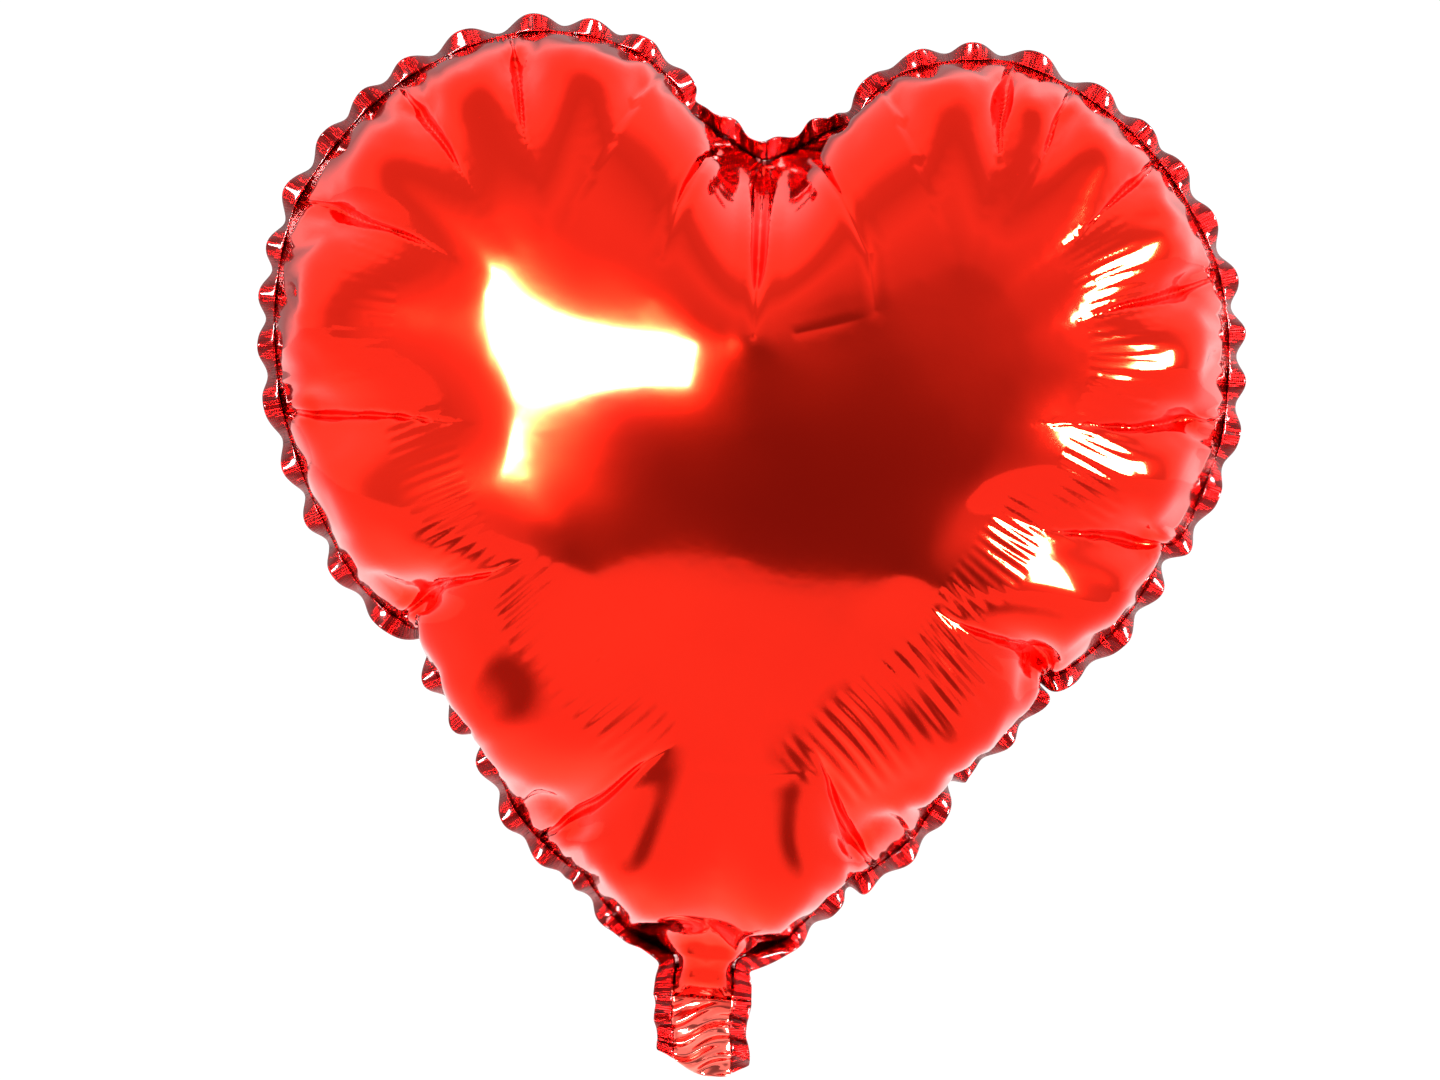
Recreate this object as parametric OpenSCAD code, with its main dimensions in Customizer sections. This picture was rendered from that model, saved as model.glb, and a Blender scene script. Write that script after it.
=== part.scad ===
/* [Heart] */
// Length of the straight side of the cleft's V, along the seal's cut edge
cleft_side = 43; // [38:1:48]
// Slope of the cleft's sides above the horizontal, in degrees
cleft_slope = 29; // [27:0.5:30]
// Radius of each lobe's top, at the cut edge
lobe_r = 91; // [86:1:96]
// Radius of each shoulder, at the cut edge
shoulder_r = 116; // [111:1:121]
// Radius of each flank under the shoulder, at the cut edge
flank_r = 244; // [236:2:252]
// Greatest half thickness of the inflated heart
half_depth = 86; // [70:1:95]

/* [Seal] */
// Width of the heat-sealed rim, from the cut edge to the seam line
seal_w = 7; // [5:0.5:8]
// Thickness of the fused rim, both films together
seal_t = 1; // [0.8:0.1:1.2]
// Wall of each inflated panel
panel_t = 1; // [0.8:0.1:1.4]

/* [Neck and tail] */
// Half width of the neck and tail, middle to cut edge
tail_half = 19; // [18:0.5:21]
// Half width of the open channel between the side seals
channel_half = 12; // [11.5:0.5:13]
// Length of the tail under its fold line
tail_len = 30; // [24:1:34]
// How far each tail film bows out at the mouth
mouth_bow = 3.5; // [3:0.1:4]
// Height of the neck's arch where it meets the heart
neck_bow = 6; // [5:0.5:7]
// Thickness of each neck and tail film
film_t = 0.4; // [0.3:0.1:0.5]

/* [Valve] */
// Width of the valve's two films
valve_w = 20; // [16:1:20]
// Length of the valve, most of it inside the heart
valve_len = 84; // [60:1:95]
// Thickness of each valve film
valve_t = 0.4; // [0.3:0.1:0.5]
// Width of the release stripe
stripe_w = 10; // [8:1:12]
// Length of the release stripe
stripe_len = 40; // [30:1:50]

/* [Hidden] */

foil_red = "#e3170a";
seal_red = "#a80f0c";
clear_film = "#e8eef0";
stripe_grey = "#6d7478";

cleft_z = 331;      // the cut edge at the cleft, above the neck
centre_z = 240;     // the deepest point of each panel
lobe_turn = 53.5;   // how far each arc of the outline turns
shoulder_turn = 77;
flank_turn = 29.3;
lower_turn = 7;
lower_r = 837;      // the nearly straight side above the tip
seal_lap = 2;       // how far the fused rim runs on under the panels' edges
rings = 10;         // rows of facets from a panel's axis to its seam
arch_steps = 8;     // facets on each side of the neck's arch

neck_top = 2;       // where the neck meets the heart
fold_z = -7;        // the line that the tail folds on
neck_end = fold_z + 1.2;
tail_top = fold_z - 0.3;
tail_end = fold_z - tail_len;
flap_w = 1.5;       // how far the neck and tail films lie on their side seals

valve_gap = 0.3;    // each valve film's distance from the middle plane
weld_h = 1.5;       // height of the welds that hold the valve in the neck
side_weld_w = 1.5;
valve_start = neck_end + weld_h + valve_gap;

function last(list) = list[len(list) - 1];
function rest(list) = [for (i = [1:len(list) - 1]) list[i]];
function mirrored(list) = [for (i = [len(list) - 1:-1:0]) [-list[i][0], list[i][1]]];

// The n points after p on a straight line to q
function line(p, q, n) = [for (i = [1:n]) p + (q - p) * i / n];

// The n points after p on an arc that starts at a heading and turns clockwise
function arc(p, heading, r, turn, n) = [
    for (i = [1:n])
        let (a = heading - turn * i / n)
        p + r * [sin(heading) - sin(a), cos(a) - cos(heading)]
];

// Right half of the heart's outline, moved inwards by inset, from the cleft down to x = stop
function half_outline(inset, stop) =
    let (
        start = [0, cleft_z - inset / cos(cleft_slope)],
        length = cleft_side + inset * tan(cleft_slope),
        side = line(start, start + length * [cos(cleft_slope), sin(cleft_slope)], 4),
        lobe = arc(last(side), cleft_slope, lobe_r - inset, lobe_turn, 6),
        shoulder_start = cleft_slope - lobe_turn,
        shoulder = arc(last(lobe), shoulder_start, shoulder_r - inset, shoulder_turn, 9),
        flank_start = shoulder_start - shoulder_turn,
        flank = arc(last(shoulder), flank_start, flank_r - inset, flank_turn, 6),
        lower_start = flank_start - flank_turn,
        lower = arc(last(flank), lower_start, lower_r - inset, lower_turn, 5),
        fall = tan(lower_start - lower_turn),
        tip = line(last(lower), [stop, last(lower)[1] + (stop - last(lower)[0]) * fall], 4)
    )
    concat([start], side, lobe, shoulder, flank, lower, tip);

// Closed outline of a panel's edge: the right half, across the neck's arch, the left half
function panel_outline(inset) =
    let (
        half = channel_half - inset,
        right = concat(half_outline(seal_w + inset, half), [[half, neck_top]]),
        across = [for (i = [1:2 * arch_steps - 1]) [half * cos(90 * i / arch_steps), neck_top]]
    )
    concat(right, across, mirrored(rest(right)));

// Height of an arch of half width w and rise h, at x
function arch(x, w, h) = h * sqrt(max(0, 1 - pow(x / w, 2)));

// Each edge point is lofted from a foot on the panel's axis, no higher than its deepest point
lowest_foot = neck_top + 1.05 * channel_half;
function at_neck(p) = p[1] < neck_top + 0.1;
function foot_z(p) = at_neck(p) ? lowest_foot : min(centre_z, p[1] + 1.05 * abs(p[0]));
function axis_depth(z) =
    let (least = seal_t / 2 + neck_bow + 1)
    least + (half_depth - least) * sin(90 * (z - lowest_foot) / (centre_z - lowest_foot));
function fall_away(s) = pow(1 - pow(s, 2.2), 0.6);

// The points of a panel's face: rings from near the axis to the edge, then the feet on the axis
function feet_from(outline) =
    let (m = len(outline) / 2 - arch_steps)
    len([for (i = [0:m]) if (foot_z(outline[i]) >= centre_z) i]);
function face_points(inset) =
    let (
        outline = panel_outline(inset),
        n = len(outline),
        half = channel_half - inset,
        ring_points = [
            for (j = [1:rings]) for (p = outline)
                let (
                    s = sin(90 * pow(j / rings, 0.9)),
                    z = foot_z(p),
                    edge = seal_t / 2 + (at_neck(p) ? arch(p[0], half, neck_bow - inset) : 0),
                    deep = axis_depth(z) - inset
                )
                [p[0] * s, -edge - (deep - edge) * fall_away(s), z + (p[1] - z) * s]
        ],
        lower_feet = [for (i = [feet_from(outline):n / 2 - arch_steps]) foot_z(outline[i])]
    )
    concat(ring_points, [for (z = concat([centre_z], lower_feet)) [0, inset - axis_depth(z), z]]);

// The triangles of one face, clockwise from its outer side, for points numbered from start
function face_triangles(inset, start) =
    let (
        outline = panel_outline(inset),
        n = len(outline),
        m = n / 2 - arch_steps,
        k = feet_from(outline),
        foot = [for (i = [0:n - 1]) start + rings * n + max(0, min(i, n - i, m) - k + 1)]
    )
    concat(
        [for (j = [0:rings - 2]) for (i = [0:n - 1])
            let (a = start + j * n + i, b = start + j * n + (i + 1) % n)
            each [[a, a + n, b + n], [a, b + n, b]]],
        [for (i = [0:n - 1]) [foot[i], start + i, start + (i + 1) % n]],
        [for (i = [0:n - 1])
            let (next = (i + 1) % n)
            if (foot[i] != foot[next]) [foot[i], start + next, foot[next]]]
    );
function reversed(triangles) = [for (t = triangles) [t[2], t[1], t[0]]];

module panel() {
    outer = face_points(0);
    inner = face_points(panel_t);
    n = len(panel_outline(0));
    edge = (rings - 1) * n;
    inner_edge = len(outer) + edge;
    rim = [
        for (i = [0:n - 1])
            let (next = (i + 1) % n)
            each [
                [edge + next, edge + i, inner_edge + i],
                [edge + next, inner_edge + i, inner_edge + next]
            ]
    ];
    polyhedron(
        concat(outer, inner),
        concat(face_triangles(0, 0), reversed(face_triangles(panel_t, len(outer))), rim)
    );
}

// A film between the side seals, from z0 down to z1, arched by each of the bows in turn
module bowed_film(z0, z1, bows) {
    half = channel_half + flap_w;
    across = concat([half], [for (i = [0:12]) channel_half * cos(15 * i)], [-half]);
    cols = len(across);
    rows = len(bows);
    inner = [
        for (r = [0:rows - 1]) for (x = across)
            [x, -seal_t / 2 - arch(x, channel_half, bows[r]), z0 + (z1 - z0) * r / (rows - 1)]
    ];
    count = len(inner);
    quads = [for (r = [0:rows - 2]) for (c = [0:cols - 2]) [r * cols + c, r * cols + c + 1]];
    loop = concat(
        [for (c = [0:cols - 2]) c], [for (r = [0:rows - 2]) r * cols + cols - 1],
        [for (c = [cols - 1:-1:1]) (rows - 1) * cols + c], [for (r = [rows - 1:-1:1]) r * cols]
    );
    polyhedron(
        concat([for (p = inner) p - [0, film_t, 0]], inner),
        concat(
            [for (q = quads) each [[q[0], q[0] + cols, q[1] + cols], [q[0], q[1] + cols, q[1]]]],
            [for (q = quads) each [
                [count + q[1], count + q[1] + cols, count + q[0] + cols],
                [count + q[1], count + q[0] + cols, count + q[0]]
            ]],
            [for (i = [0:len(loop) - 1])
                let (a = loop[i], b = loop[(i + 1) % len(loop)])
                each [[a, b, count + b], [a, count + b, count + a]]]
        )
    );
}

module slab(x0, x1, y0, y1, z0, z1) {
    translate([x0, y0, z0]) cube([x1 - x0, y1 - y0, z1 - z0]);
}

module both_sides() {
    children();
    mirror([1, 0, 0]) children();
}

module front_panel() {
    color(foil_red) panel();
}

module back_panel() {
    color(foil_red) mirror([0, 1, 0]) panel();
}

module rim_seal() {
    leg = channel_half - panel_t;
    outer = concat(half_outline(0, tail_half), [[tail_half, neck_end]]);
    inner = concat(half_outline(seal_w + seal_lap, leg), [[leg, neck_end]]);
    color(seal_red) rotate([90, 0, 0]) linear_extrude(seal_t, center = true)
        polygon(concat(outer, [for (i = [len(inner) - 1:-1:0]) inner[i]],
            [for (p = rest(inner)) [-p[0], p[1]]], mirrored(rest(outer))));
}

module neck_front_film() {
    bows = [for (i = [0:6]) neck_bow * pow(1 - i / 6, 1.3)];
    color(foil_red) bowed_film(neck_top, neck_end, bows);
}

module neck_back_film() {
    mirror([0, 1, 0]) neck_front_film();
}

module valve_inlet_welds() {
    color(clear_film) {
        slab(-valve_w / 2, valve_w / 2, -seal_t / 2, -valve_gap, neck_end, neck_end + weld_h);
        slab(-valve_w / 2, valve_w / 2, valve_gap, seal_t / 2, neck_end, neck_end + weld_h);
    }
}

module valve_front_film() {
    color(clear_film) slab(-valve_w / 2, valve_w / 2, -valve_gap - valve_t, -valve_gap,
        valve_start, valve_start + valve_len);
}

module valve_back_film() {
    mirror([0, 1, 0]) valve_front_film();
}

module valve_side_welds() {
    color(clear_film) both_sides()
        slab(valve_w / 2 - side_weld_w, valve_w / 2, 0, valve_gap, valve_start, valve_start + valve_len);
}

module valve_release_stripe() {
    color(stripe_grey) slab(-stripe_w / 2, stripe_w / 2, 0.1, valve_gap,
        valve_start, valve_start + stripe_len);
}

module tail_front_film() {
    bows = [for (i = [0:9]) mouth_bow * sin(90 * min(1, i / 5))];
    color(foil_red) bowed_film(tail_top, tail_end, bows);
}

module tail_back_film() {
    mirror([0, 1, 0]) tail_front_film();
}

module tail_side_seals() {
    color(seal_red) both_sides()
        slab(channel_half, tail_half, -seal_t / 2, seal_t / 2, tail_end, tail_top);
}

front_panel();
back_panel();
rim_seal();
neck_front_film();
neck_back_film();
valve_inlet_welds();
valve_front_film();
valve_back_film();
valve_side_welds();
valve_release_stripe();
tail_front_film();
tail_back_film();
tail_side_seals();
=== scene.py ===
"""Looks of a heart-shaped foil balloon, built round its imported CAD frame."""
import logging
import math
from dataclasses import dataclass, field
from enum import Enum

import bpy
import numpy as np
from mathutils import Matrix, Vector
from mathutils.geometry import delaunay_2d_cdt
from mathutils.kdtree import KDTree


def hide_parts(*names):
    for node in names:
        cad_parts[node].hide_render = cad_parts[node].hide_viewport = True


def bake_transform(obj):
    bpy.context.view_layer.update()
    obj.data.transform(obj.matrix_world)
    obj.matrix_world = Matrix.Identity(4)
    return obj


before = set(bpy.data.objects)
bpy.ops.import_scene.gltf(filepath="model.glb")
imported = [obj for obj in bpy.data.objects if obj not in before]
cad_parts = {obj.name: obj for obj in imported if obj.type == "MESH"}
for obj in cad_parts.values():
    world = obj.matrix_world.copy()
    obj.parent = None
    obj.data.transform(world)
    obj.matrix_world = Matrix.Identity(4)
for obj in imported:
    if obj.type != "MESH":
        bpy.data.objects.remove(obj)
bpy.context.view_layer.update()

MM = 0.001
log = logging.getLogger("heart_balloon")

# An array with one row or one value for each vertex, edge or face.
Points = np.ndarray
Face = tuple[int, ...]


class Side(Enum):
    """The two films of the balloon, by the way each one bulges along Y."""

    FRONT = -1
    BACK = 1


# ---------------------------------------------------------------- helpers


def linear(hex_code: str) -> tuple[float, float, float, float]:
    """Turn an sRGB hex colour into linear RGBA.

    Args:
        hex_code: A colour such as "#e3170a".

    Returns:
        The linear red, green, blue and an alpha of 1.
    """
    values = [int(hex_code[i:i + 2], 16) / 255 for i in (1, 3, 5)]
    scene = [v / 12.92 if v <= 0.04045 else ((v + 0.055) / 1.055) ** 2.4 for v in values]
    return (scene[0], scene[1], scene[2], 1.0)


def add_node(
    owner: bpy.types.Material | bpy.types.World,
    kind: str,
    values: dict | None = None,
    links: dict | None = None,
    **settings: object,
) -> bpy.types.Node:
    """Add one shader node with its settings, input values and incoming links.

    Args:
        owner: The material or world whose node tree it joins.
        kind: The node's type name.
        values: Input name or number to value.
        links: Input name or number to the output socket that feeds it.
        settings: Attributes of the node itself.

    Returns:
        The new node.
    """
    tree = owner.node_tree
    node = tree.nodes.new(kind)
    for name, value in settings.items():
        setattr(node, name, value)
    for key, value in (values or {}).items():
        node.inputs[key].default_value = value
    for key, socket in (links or {}).items():
        tree.links.new(socket, node.inputs[key])
    return node


def new_material(name: str) -> tuple[bpy.types.Material, bpy.types.Node]:
    """Make an empty node material.

    Args:
        name: The material's name.

    Returns:
        The material and its Principled shader.
    """
    material = bpy.data.materials.new(name)
    material.use_nodes = True
    return material, material.node_tree.nodes["Principled BSDF"]


def make_mesh(name: str, points: Points, faces: list, uv: Points | None = None) -> bpy.types.Object:
    """Make an object from points and faces, with an optional UV for each point.

    Args:
        name: The piece's name.
        points: One row of X, Y, Z for each vertex, in metres.
        faces: Vertex numbers of each face.
        uv: One row of U, V for each vertex.

    Returns:
        The new object, linked to the scene.
    """
    mesh = bpy.data.meshes.new(name)
    mesh.from_pydata(points.tolist(), [], faces)
    mesh.update()
    if uv is not None:
        layer = mesh.uv_layers.new(name="seam")
        corners = np.empty(len(mesh.loops), dtype=np.int32)
        mesh.loops.foreach_get("vertex_index", corners)
        layer.data.foreach_set("uv", uv[corners].astype(np.float32).ravel())
    piece = bpy.data.objects.new(name, mesh)
    bpy.context.scene.collection.objects.link(piece)
    return piece


def select_only(piece: bpy.types.Object) -> None:
    """Make one object the selected and active one.

    Args:
        piece: The object to select.
    """
    bpy.ops.object.select_all(action="DESELECT")
    piece.select_set(True)
    bpy.context.view_layer.objects.active = piece


def apply_modifier(piece: bpy.types.Object, kind: str, **settings: object) -> None:
    """Add a modifier with its settings and apply it to the mesh.

    Args:
        piece: The object that takes it.
        kind: The modifier's type name.
        settings: Attributes of the modifier.
    """
    select_only(piece)
    modifier = piece.modifiers.new(kind.title(), kind)
    for name, value in settings.items():
        setattr(modifier, name, value)
    bpy.ops.object.modifier_apply(modifier=modifier.name)


def smoothstep(value: Points | float, low: float, high: float) -> Points:
    """Rise smoothly from 0 at low to 1 at high."""
    t = np.clip((np.asarray(value, dtype=float) - low) / (high - low), 0, 1)
    return t * t * (3 - 2 * t)


@dataclass(frozen=True)
class Sway:
    """A slow sine along a length: its swing, its pitch (the length of one radian) and its start."""

    swing: float
    pitch: float
    start: float = 0.0

    def at(self, place: Points) -> Points:
        """Give the sway at each place along the length."""
        return self.swing * np.sin(place / self.pitch + self.start)


@dataclass(frozen=True)
class Bank:
    """The low bank that rises beside a pressed valley, in shares of the valley's depth and width."""

    height: float
    place: float
    spread: float

    def at(self, off: Points, width: Points | float) -> Points:
        """Give the bank's height at distances off the valley's line."""
        return self.height * np.exp(-((off - self.place * width) / (self.spread * width)) ** 2)


# ---------------------------------------------------------------- finishes


@dataclass(frozen=True)
class MetallisedFoil:
    """Polyester film, vacuum-metallised and tinted red: a saturated mirror under a thin clear skin."""

    name: str = "red_metallised_foil"
    tint: str = "#f92a12"
    deep_tint: str = "#f0200d"
    roughness: float = 0.085
    skin_weight: float = 0.14
    skin_roughness: float = 0.06
    # Painted reflection: a paler, pinker red painted on the tail, fading in between these two heights.
    painted_reflection_tint: str = "#ff7264"
    painted_reflection_from: float = -3 * MM
    painted_reflection_to: float = -15 * MM
    tone_pitch: float = 71 * MM
    haze_range: tuple[float, float] = (0.7, 1.4)
    crinkle_pitch: float = 11 * MM
    crinkle_depth: float = 0.03 * MM

    def make(self) -> bpy.types.Material:
        """Build the foil.

        Returns:
            A mirror-bright red with a slight unevenness from handling, and a paler, pinker tail that is a
            painted reflection.
        """
        # The metallising gives a sharp red mirror and the clear skin a faint white glint over it.
        # Below the neck the red is painted paler and pinker, a painted reflection of the white room.
        material, shader = new_material(self.name)
        shader.inputs["Metallic"].default_value = 1.0
        shader.inputs["Coat Weight"].default_value = self.skin_weight
        shader.inputs["Coat Roughness"].default_value = self.skin_roughness
        place = add_node(material, "ShaderNodeTexCoord")
        tone = add_node(material, "ShaderNodeTexNoise", {"Scale": 1 / self.tone_pitch, "Detail": 2.0},
                        {"Vector": place.outputs["Object"]})
        colour = add_node(material, "ShaderNodeMix",
                          {6: linear(self.deep_tint), 7: linear(self.tint)},
                          {0: tone.outputs["Fac"]}, data_type="RGBA")
        axes = add_node(material, "ShaderNodeSeparateXYZ", links={0: place.outputs["Object"]})
        # Painted reflection: the tail's red turns paler and pinker downwards, as if it mirrored the white
        # room.
        painted_reflection_share = add_node(material, "ShaderNodeMapRange",
                        {"From Min": self.painted_reflection_from, "From Max": self.painted_reflection_to},
                        {"Value": axes.outputs["Z"]})
        crumpled = add_node(material, "ShaderNodeMix", {7: linear(self.painted_reflection_tint)},
                            {0: painted_reflection_share.outputs["Result"], 6: colour.outputs[2]}, data_type="RGBA")
        clear, hazy = self.haze_range
        haze = add_node(material, "ShaderNodeMapRange",
                        {"From Min": 0.3, "From Max": 0.7, "To Min": self.roughness * clear,
                         "To Max": self.roughness * hazy}, {"Value": tone.outputs["Fac"]})
        crinkle = add_node(material, "ShaderNodeTexNoise",
                           {"Scale": 1 / self.crinkle_pitch, "Detail": 2.0, "Roughness": 0.45},
                           {"Vector": place.outputs["Object"]})
        soft = add_node(material, "ShaderNodeBump", {"Strength": 1.0, "Distance": self.crinkle_depth},
                        {"Height": crinkle.outputs["Fac"]})
        tree = material.node_tree
        tree.links.new(crumpled.outputs[2], shader.inputs["Base Color"])
        tree.links.new(haze.outputs["Result"], shader.inputs["Roughness"])
        tree.links.new(soft.outputs["Normal"], shader.inputs["Normal"])
        return material


@dataclass(frozen=True)
class PaintedShadeSeal:
    """The same film fused by a knurled hot bar, ribbed across and finely knurled, its red painted dark as
    painted shade.
    """

    name: str = "embossed_seal_painted_shade"
    # Painted shade: both reds are far darker than the foil's, painted to look like the shadowed rim.
    tint: str = "#9a0909"
    deep_tint: str = "#5c0404"
    tone_pitch: float = 11.1 * MM
    roughness: float = 0.22
    skin_weight: float = 0.35
    skin_roughness: float = 0.12
    rib_pitch: float = 5 * MM
    rib_sway: float = 5.0
    rib_depth: float = 0.5 * MM
    knurl_pitch: float = 1.7 * MM
    knurl_depth: float = 0.12 * MM

    def make(self) -> bpy.types.Material:
        """Build the seal's finish.

        Returns:
            A red metal painted dark as painted shade, with ribs across the seal and a diamond knurl.
        """
        # The seal's red is painted dark, a painted shade for the rim that sits in shadow,
        # and it sparkles on its knurl.
        material, shader = new_material(self.name)
        shader.inputs["Metallic"].default_value = 1.0
        shader.inputs["Roughness"].default_value = self.roughness
        shader.inputs["Coat Weight"].default_value = self.skin_weight
        shader.inputs["Coat Roughness"].default_value = self.skin_roughness
        place = add_node(material, "ShaderNodeTexCoord")
        tone = add_node(material, "ShaderNodeTexNoise", {"Scale": 1 / self.tone_pitch, "Detail": 3.0},
                        {"Vector": place.outputs["Object"]})
        colour = add_node(material, "ShaderNodeMix", {6: linear(self.deep_tint), 7: linear(self.tint)},
                          {0: tone.outputs["Fac"]}, data_type="RGBA")
        tree = material.node_tree
        tree.links.new(colour.outputs[2], shader.inputs["Base Color"])
        seam = add_node(material, "ShaderNodeUVMap", uv_map="seam")
        axes = add_node(material, "ShaderNodeSeparateXYZ", links={0: seam.outputs["UV"]})
        turns = add_node(material, "ShaderNodeMath", {1: math.tau / self.rib_pitch},
                         {0: axes.outputs["X"]}, operation="MULTIPLY")
        swayed = add_node(material, "ShaderNodeMath", {1: self.rib_sway},
                          {0: tone.outputs["Fac"], 2: turns.outputs[0]}, operation="MULTIPLY_ADD")
        rib = add_node(material, "ShaderNodeMath", links={0: swayed.outputs[0]}, operation="SINE")
        ribs = add_node(material, "ShaderNodeBump", {"Strength": 1.0, "Distance": self.rib_depth},
                        {"Height": rib.outputs[0]})
        waves = []
        for lean in (1.0, -1.0):
            slant = add_node(material, "ShaderNodeMath", {1: lean},
                             {0: axes.outputs["Y"], 2: axes.outputs["X"]}, operation="MULTIPLY_ADD")
            phase = add_node(material, "ShaderNodeMath", {1: math.tau / self.knurl_pitch},
                             {0: slant.outputs[0]}, operation="MULTIPLY")
            wave = add_node(material, "ShaderNodeMath", links={0: phase.outputs[0]}, operation="SINE")
            waves.append(wave.outputs[0])
        diamonds = add_node(material, "ShaderNodeMath", links={0: waves[0], 1: waves[1]},
                            operation="MULTIPLY")
        knurl = add_node(material, "ShaderNodeBump", {"Strength": 1.0, "Distance": self.knurl_depth},
                         {"Height": diamonds.outputs[0], "Normal": ribs.outputs["Normal"]})
        tree.links.new(knurl.outputs["Normal"], shader.inputs["Normal"])
        return material


@dataclass(frozen=True)
class BareMetallising:
    """The film's inner face: silvery metallising under a sealing layer, duller than the outside."""

    name: str = "silver_inside"
    tint: str = "#c9cacc"
    deep_tint: str = "#a9abad"
    cloud_pitch: float = 16.7 * MM
    roughness: float = 0.32

    def make(self) -> bpy.types.Material:
        """Build the inner face.

        Returns:
            A dull silver with a faint cloudiness.
        """
        # The untinted side of the metallising is plain aluminium, blurred by the sealing layer.
        material, shader = new_material(self.name)
        shader.inputs["Metallic"].default_value = 1.0
        shader.inputs["Roughness"].default_value = self.roughness
        place = add_node(material, "ShaderNodeTexCoord")
        cloud = add_node(material, "ShaderNodeTexNoise", {"Scale": 1 / self.cloud_pitch, "Detail": 3.0},
                         {"Vector": place.outputs["Object"]})
        colour = add_node(material, "ShaderNodeMix", {6: linear(self.deep_tint), 7: linear(self.tint)},
                          {0: cloud.outputs["Fac"]}, data_type="RGBA")
        material.node_tree.links.new(colour.outputs[2], shader.inputs["Base Color"])
        return material


@dataclass(frozen=True)
class BlownFilm:
    """Thin blown polyethylene of the valve: milky, with faint draw lines along its length."""

    name: str = "clear_valve_film"
    tint: str = "#e6ebec"
    deep_tint: str = "#d3dadc"
    alpha: float = 0.5
    roughness: float = 0.25
    line_pitch: float = 1.2 * MM
    line_stretch: float = 0.02
    line_depth: float = 0.02 * MM

    def make(self) -> bpy.types.Material:
        """Build the valve film.

        Returns:
            A milky glossy plastic with draw lines along Z.
        """
        # Blown film is clear enough to see through, and its draw lines catch the light as fine streaks.
        material, shader = new_material(self.name)
        shader.inputs["Roughness"].default_value = self.roughness
        shader.inputs["Alpha"].default_value = self.alpha
        place = add_node(material, "ShaderNodeTexCoord")
        across = add_node(material, "ShaderNodeMapping", {"Scale": (1.0, 1.0, self.line_stretch)},
                          {"Vector": place.outputs["Object"]})
        lines = add_node(material, "ShaderNodeTexNoise", {"Scale": 1 / self.line_pitch, "Detail": 2.0},
                         {"Vector": across.outputs["Vector"]})
        colour = add_node(material, "ShaderNodeMix", {6: linear(self.deep_tint), 7: linear(self.tint)},
                          {0: lines.outputs["Fac"]}, data_type="RGBA")
        bump = add_node(material, "ShaderNodeBump", {"Distance": self.line_depth},
                        {"Height": lines.outputs["Fac"]})
        material.node_tree.links.new(colour.outputs[2], shader.inputs["Base Color"])
        material.node_tree.links.new(bump.outputs["Normal"], shader.inputs["Normal"])
        return material


@dataclass(frozen=True)
class ReleaseCoating:
    """Matt heat-resistant ink that keeps the valve's films from sealing together."""

    name: str = "release_coating"
    tint: str = "#4a5054"
    deep_tint: str = "#3a3f42"
    roughness: float = 0.8
    grain: float = 0.4 * MM

    def make(self) -> bpy.types.Material:
        """Build the coating.

        Returns:
            A matt grey with a fine speckle.
        """
        # The printed ink is dry and powdery, so it shows no reflection at all.
        material, shader = new_material(self.name)
        shader.inputs["Roughness"].default_value = self.roughness
        place = add_node(material, "ShaderNodeTexCoord")
        speck = add_node(material, "ShaderNodeTexNoise", {"Scale": 1 / self.grain, "Detail": 1.0},
                         {"Vector": place.outputs["Object"]})
        colour = add_node(material, "ShaderNodeMix", {6: linear(self.deep_tint), 7: linear(self.tint)},
                          {0: speck.outputs["Fac"]}, data_type="RGBA")
        material.node_tree.links.new(colour.outputs[2], shader.inputs["Base Color"])
        return material


@dataclass(frozen=True)
class StudioSurface:
    """A plain matt studio surface in one colour."""

    name: str
    tint: str
    roughness: float = 0.9
    faded: bool = False
    solid_middle: float = 0.8

    def make(self) -> bpy.types.Material:
        """Build the surface.

        Returns:
            A matt colour that, when faded, thins out to nothing one unit from the middle.
        """
        # Paper and felt scatter light evenly, so they give the foil plain tones to mirror.
        material, shader = new_material(self.name)
        shader.inputs["Base Color"].default_value = linear(self.tint)
        shader.inputs["Roughness"].default_value = self.roughness
        if self.faded:
            place = add_node(material, "ShaderNodeTexCoord")
            ball = add_node(material, "ShaderNodeTexGradient", links={"Vector": place.outputs["Object"]},
                            gradient_type="SPHERICAL")
            cover = add_node(material, "ShaderNodeMapRange", {"From Max": self.solid_middle},
                             {"Value": ball.outputs["Fac"]}, interpolation_type="SMOOTHSTEP")
            material.node_tree.links.new(cover.outputs["Result"], shader.inputs["Alpha"])
        return material


# ---------------------------------------------------------------- the heart's flat lattice


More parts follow.
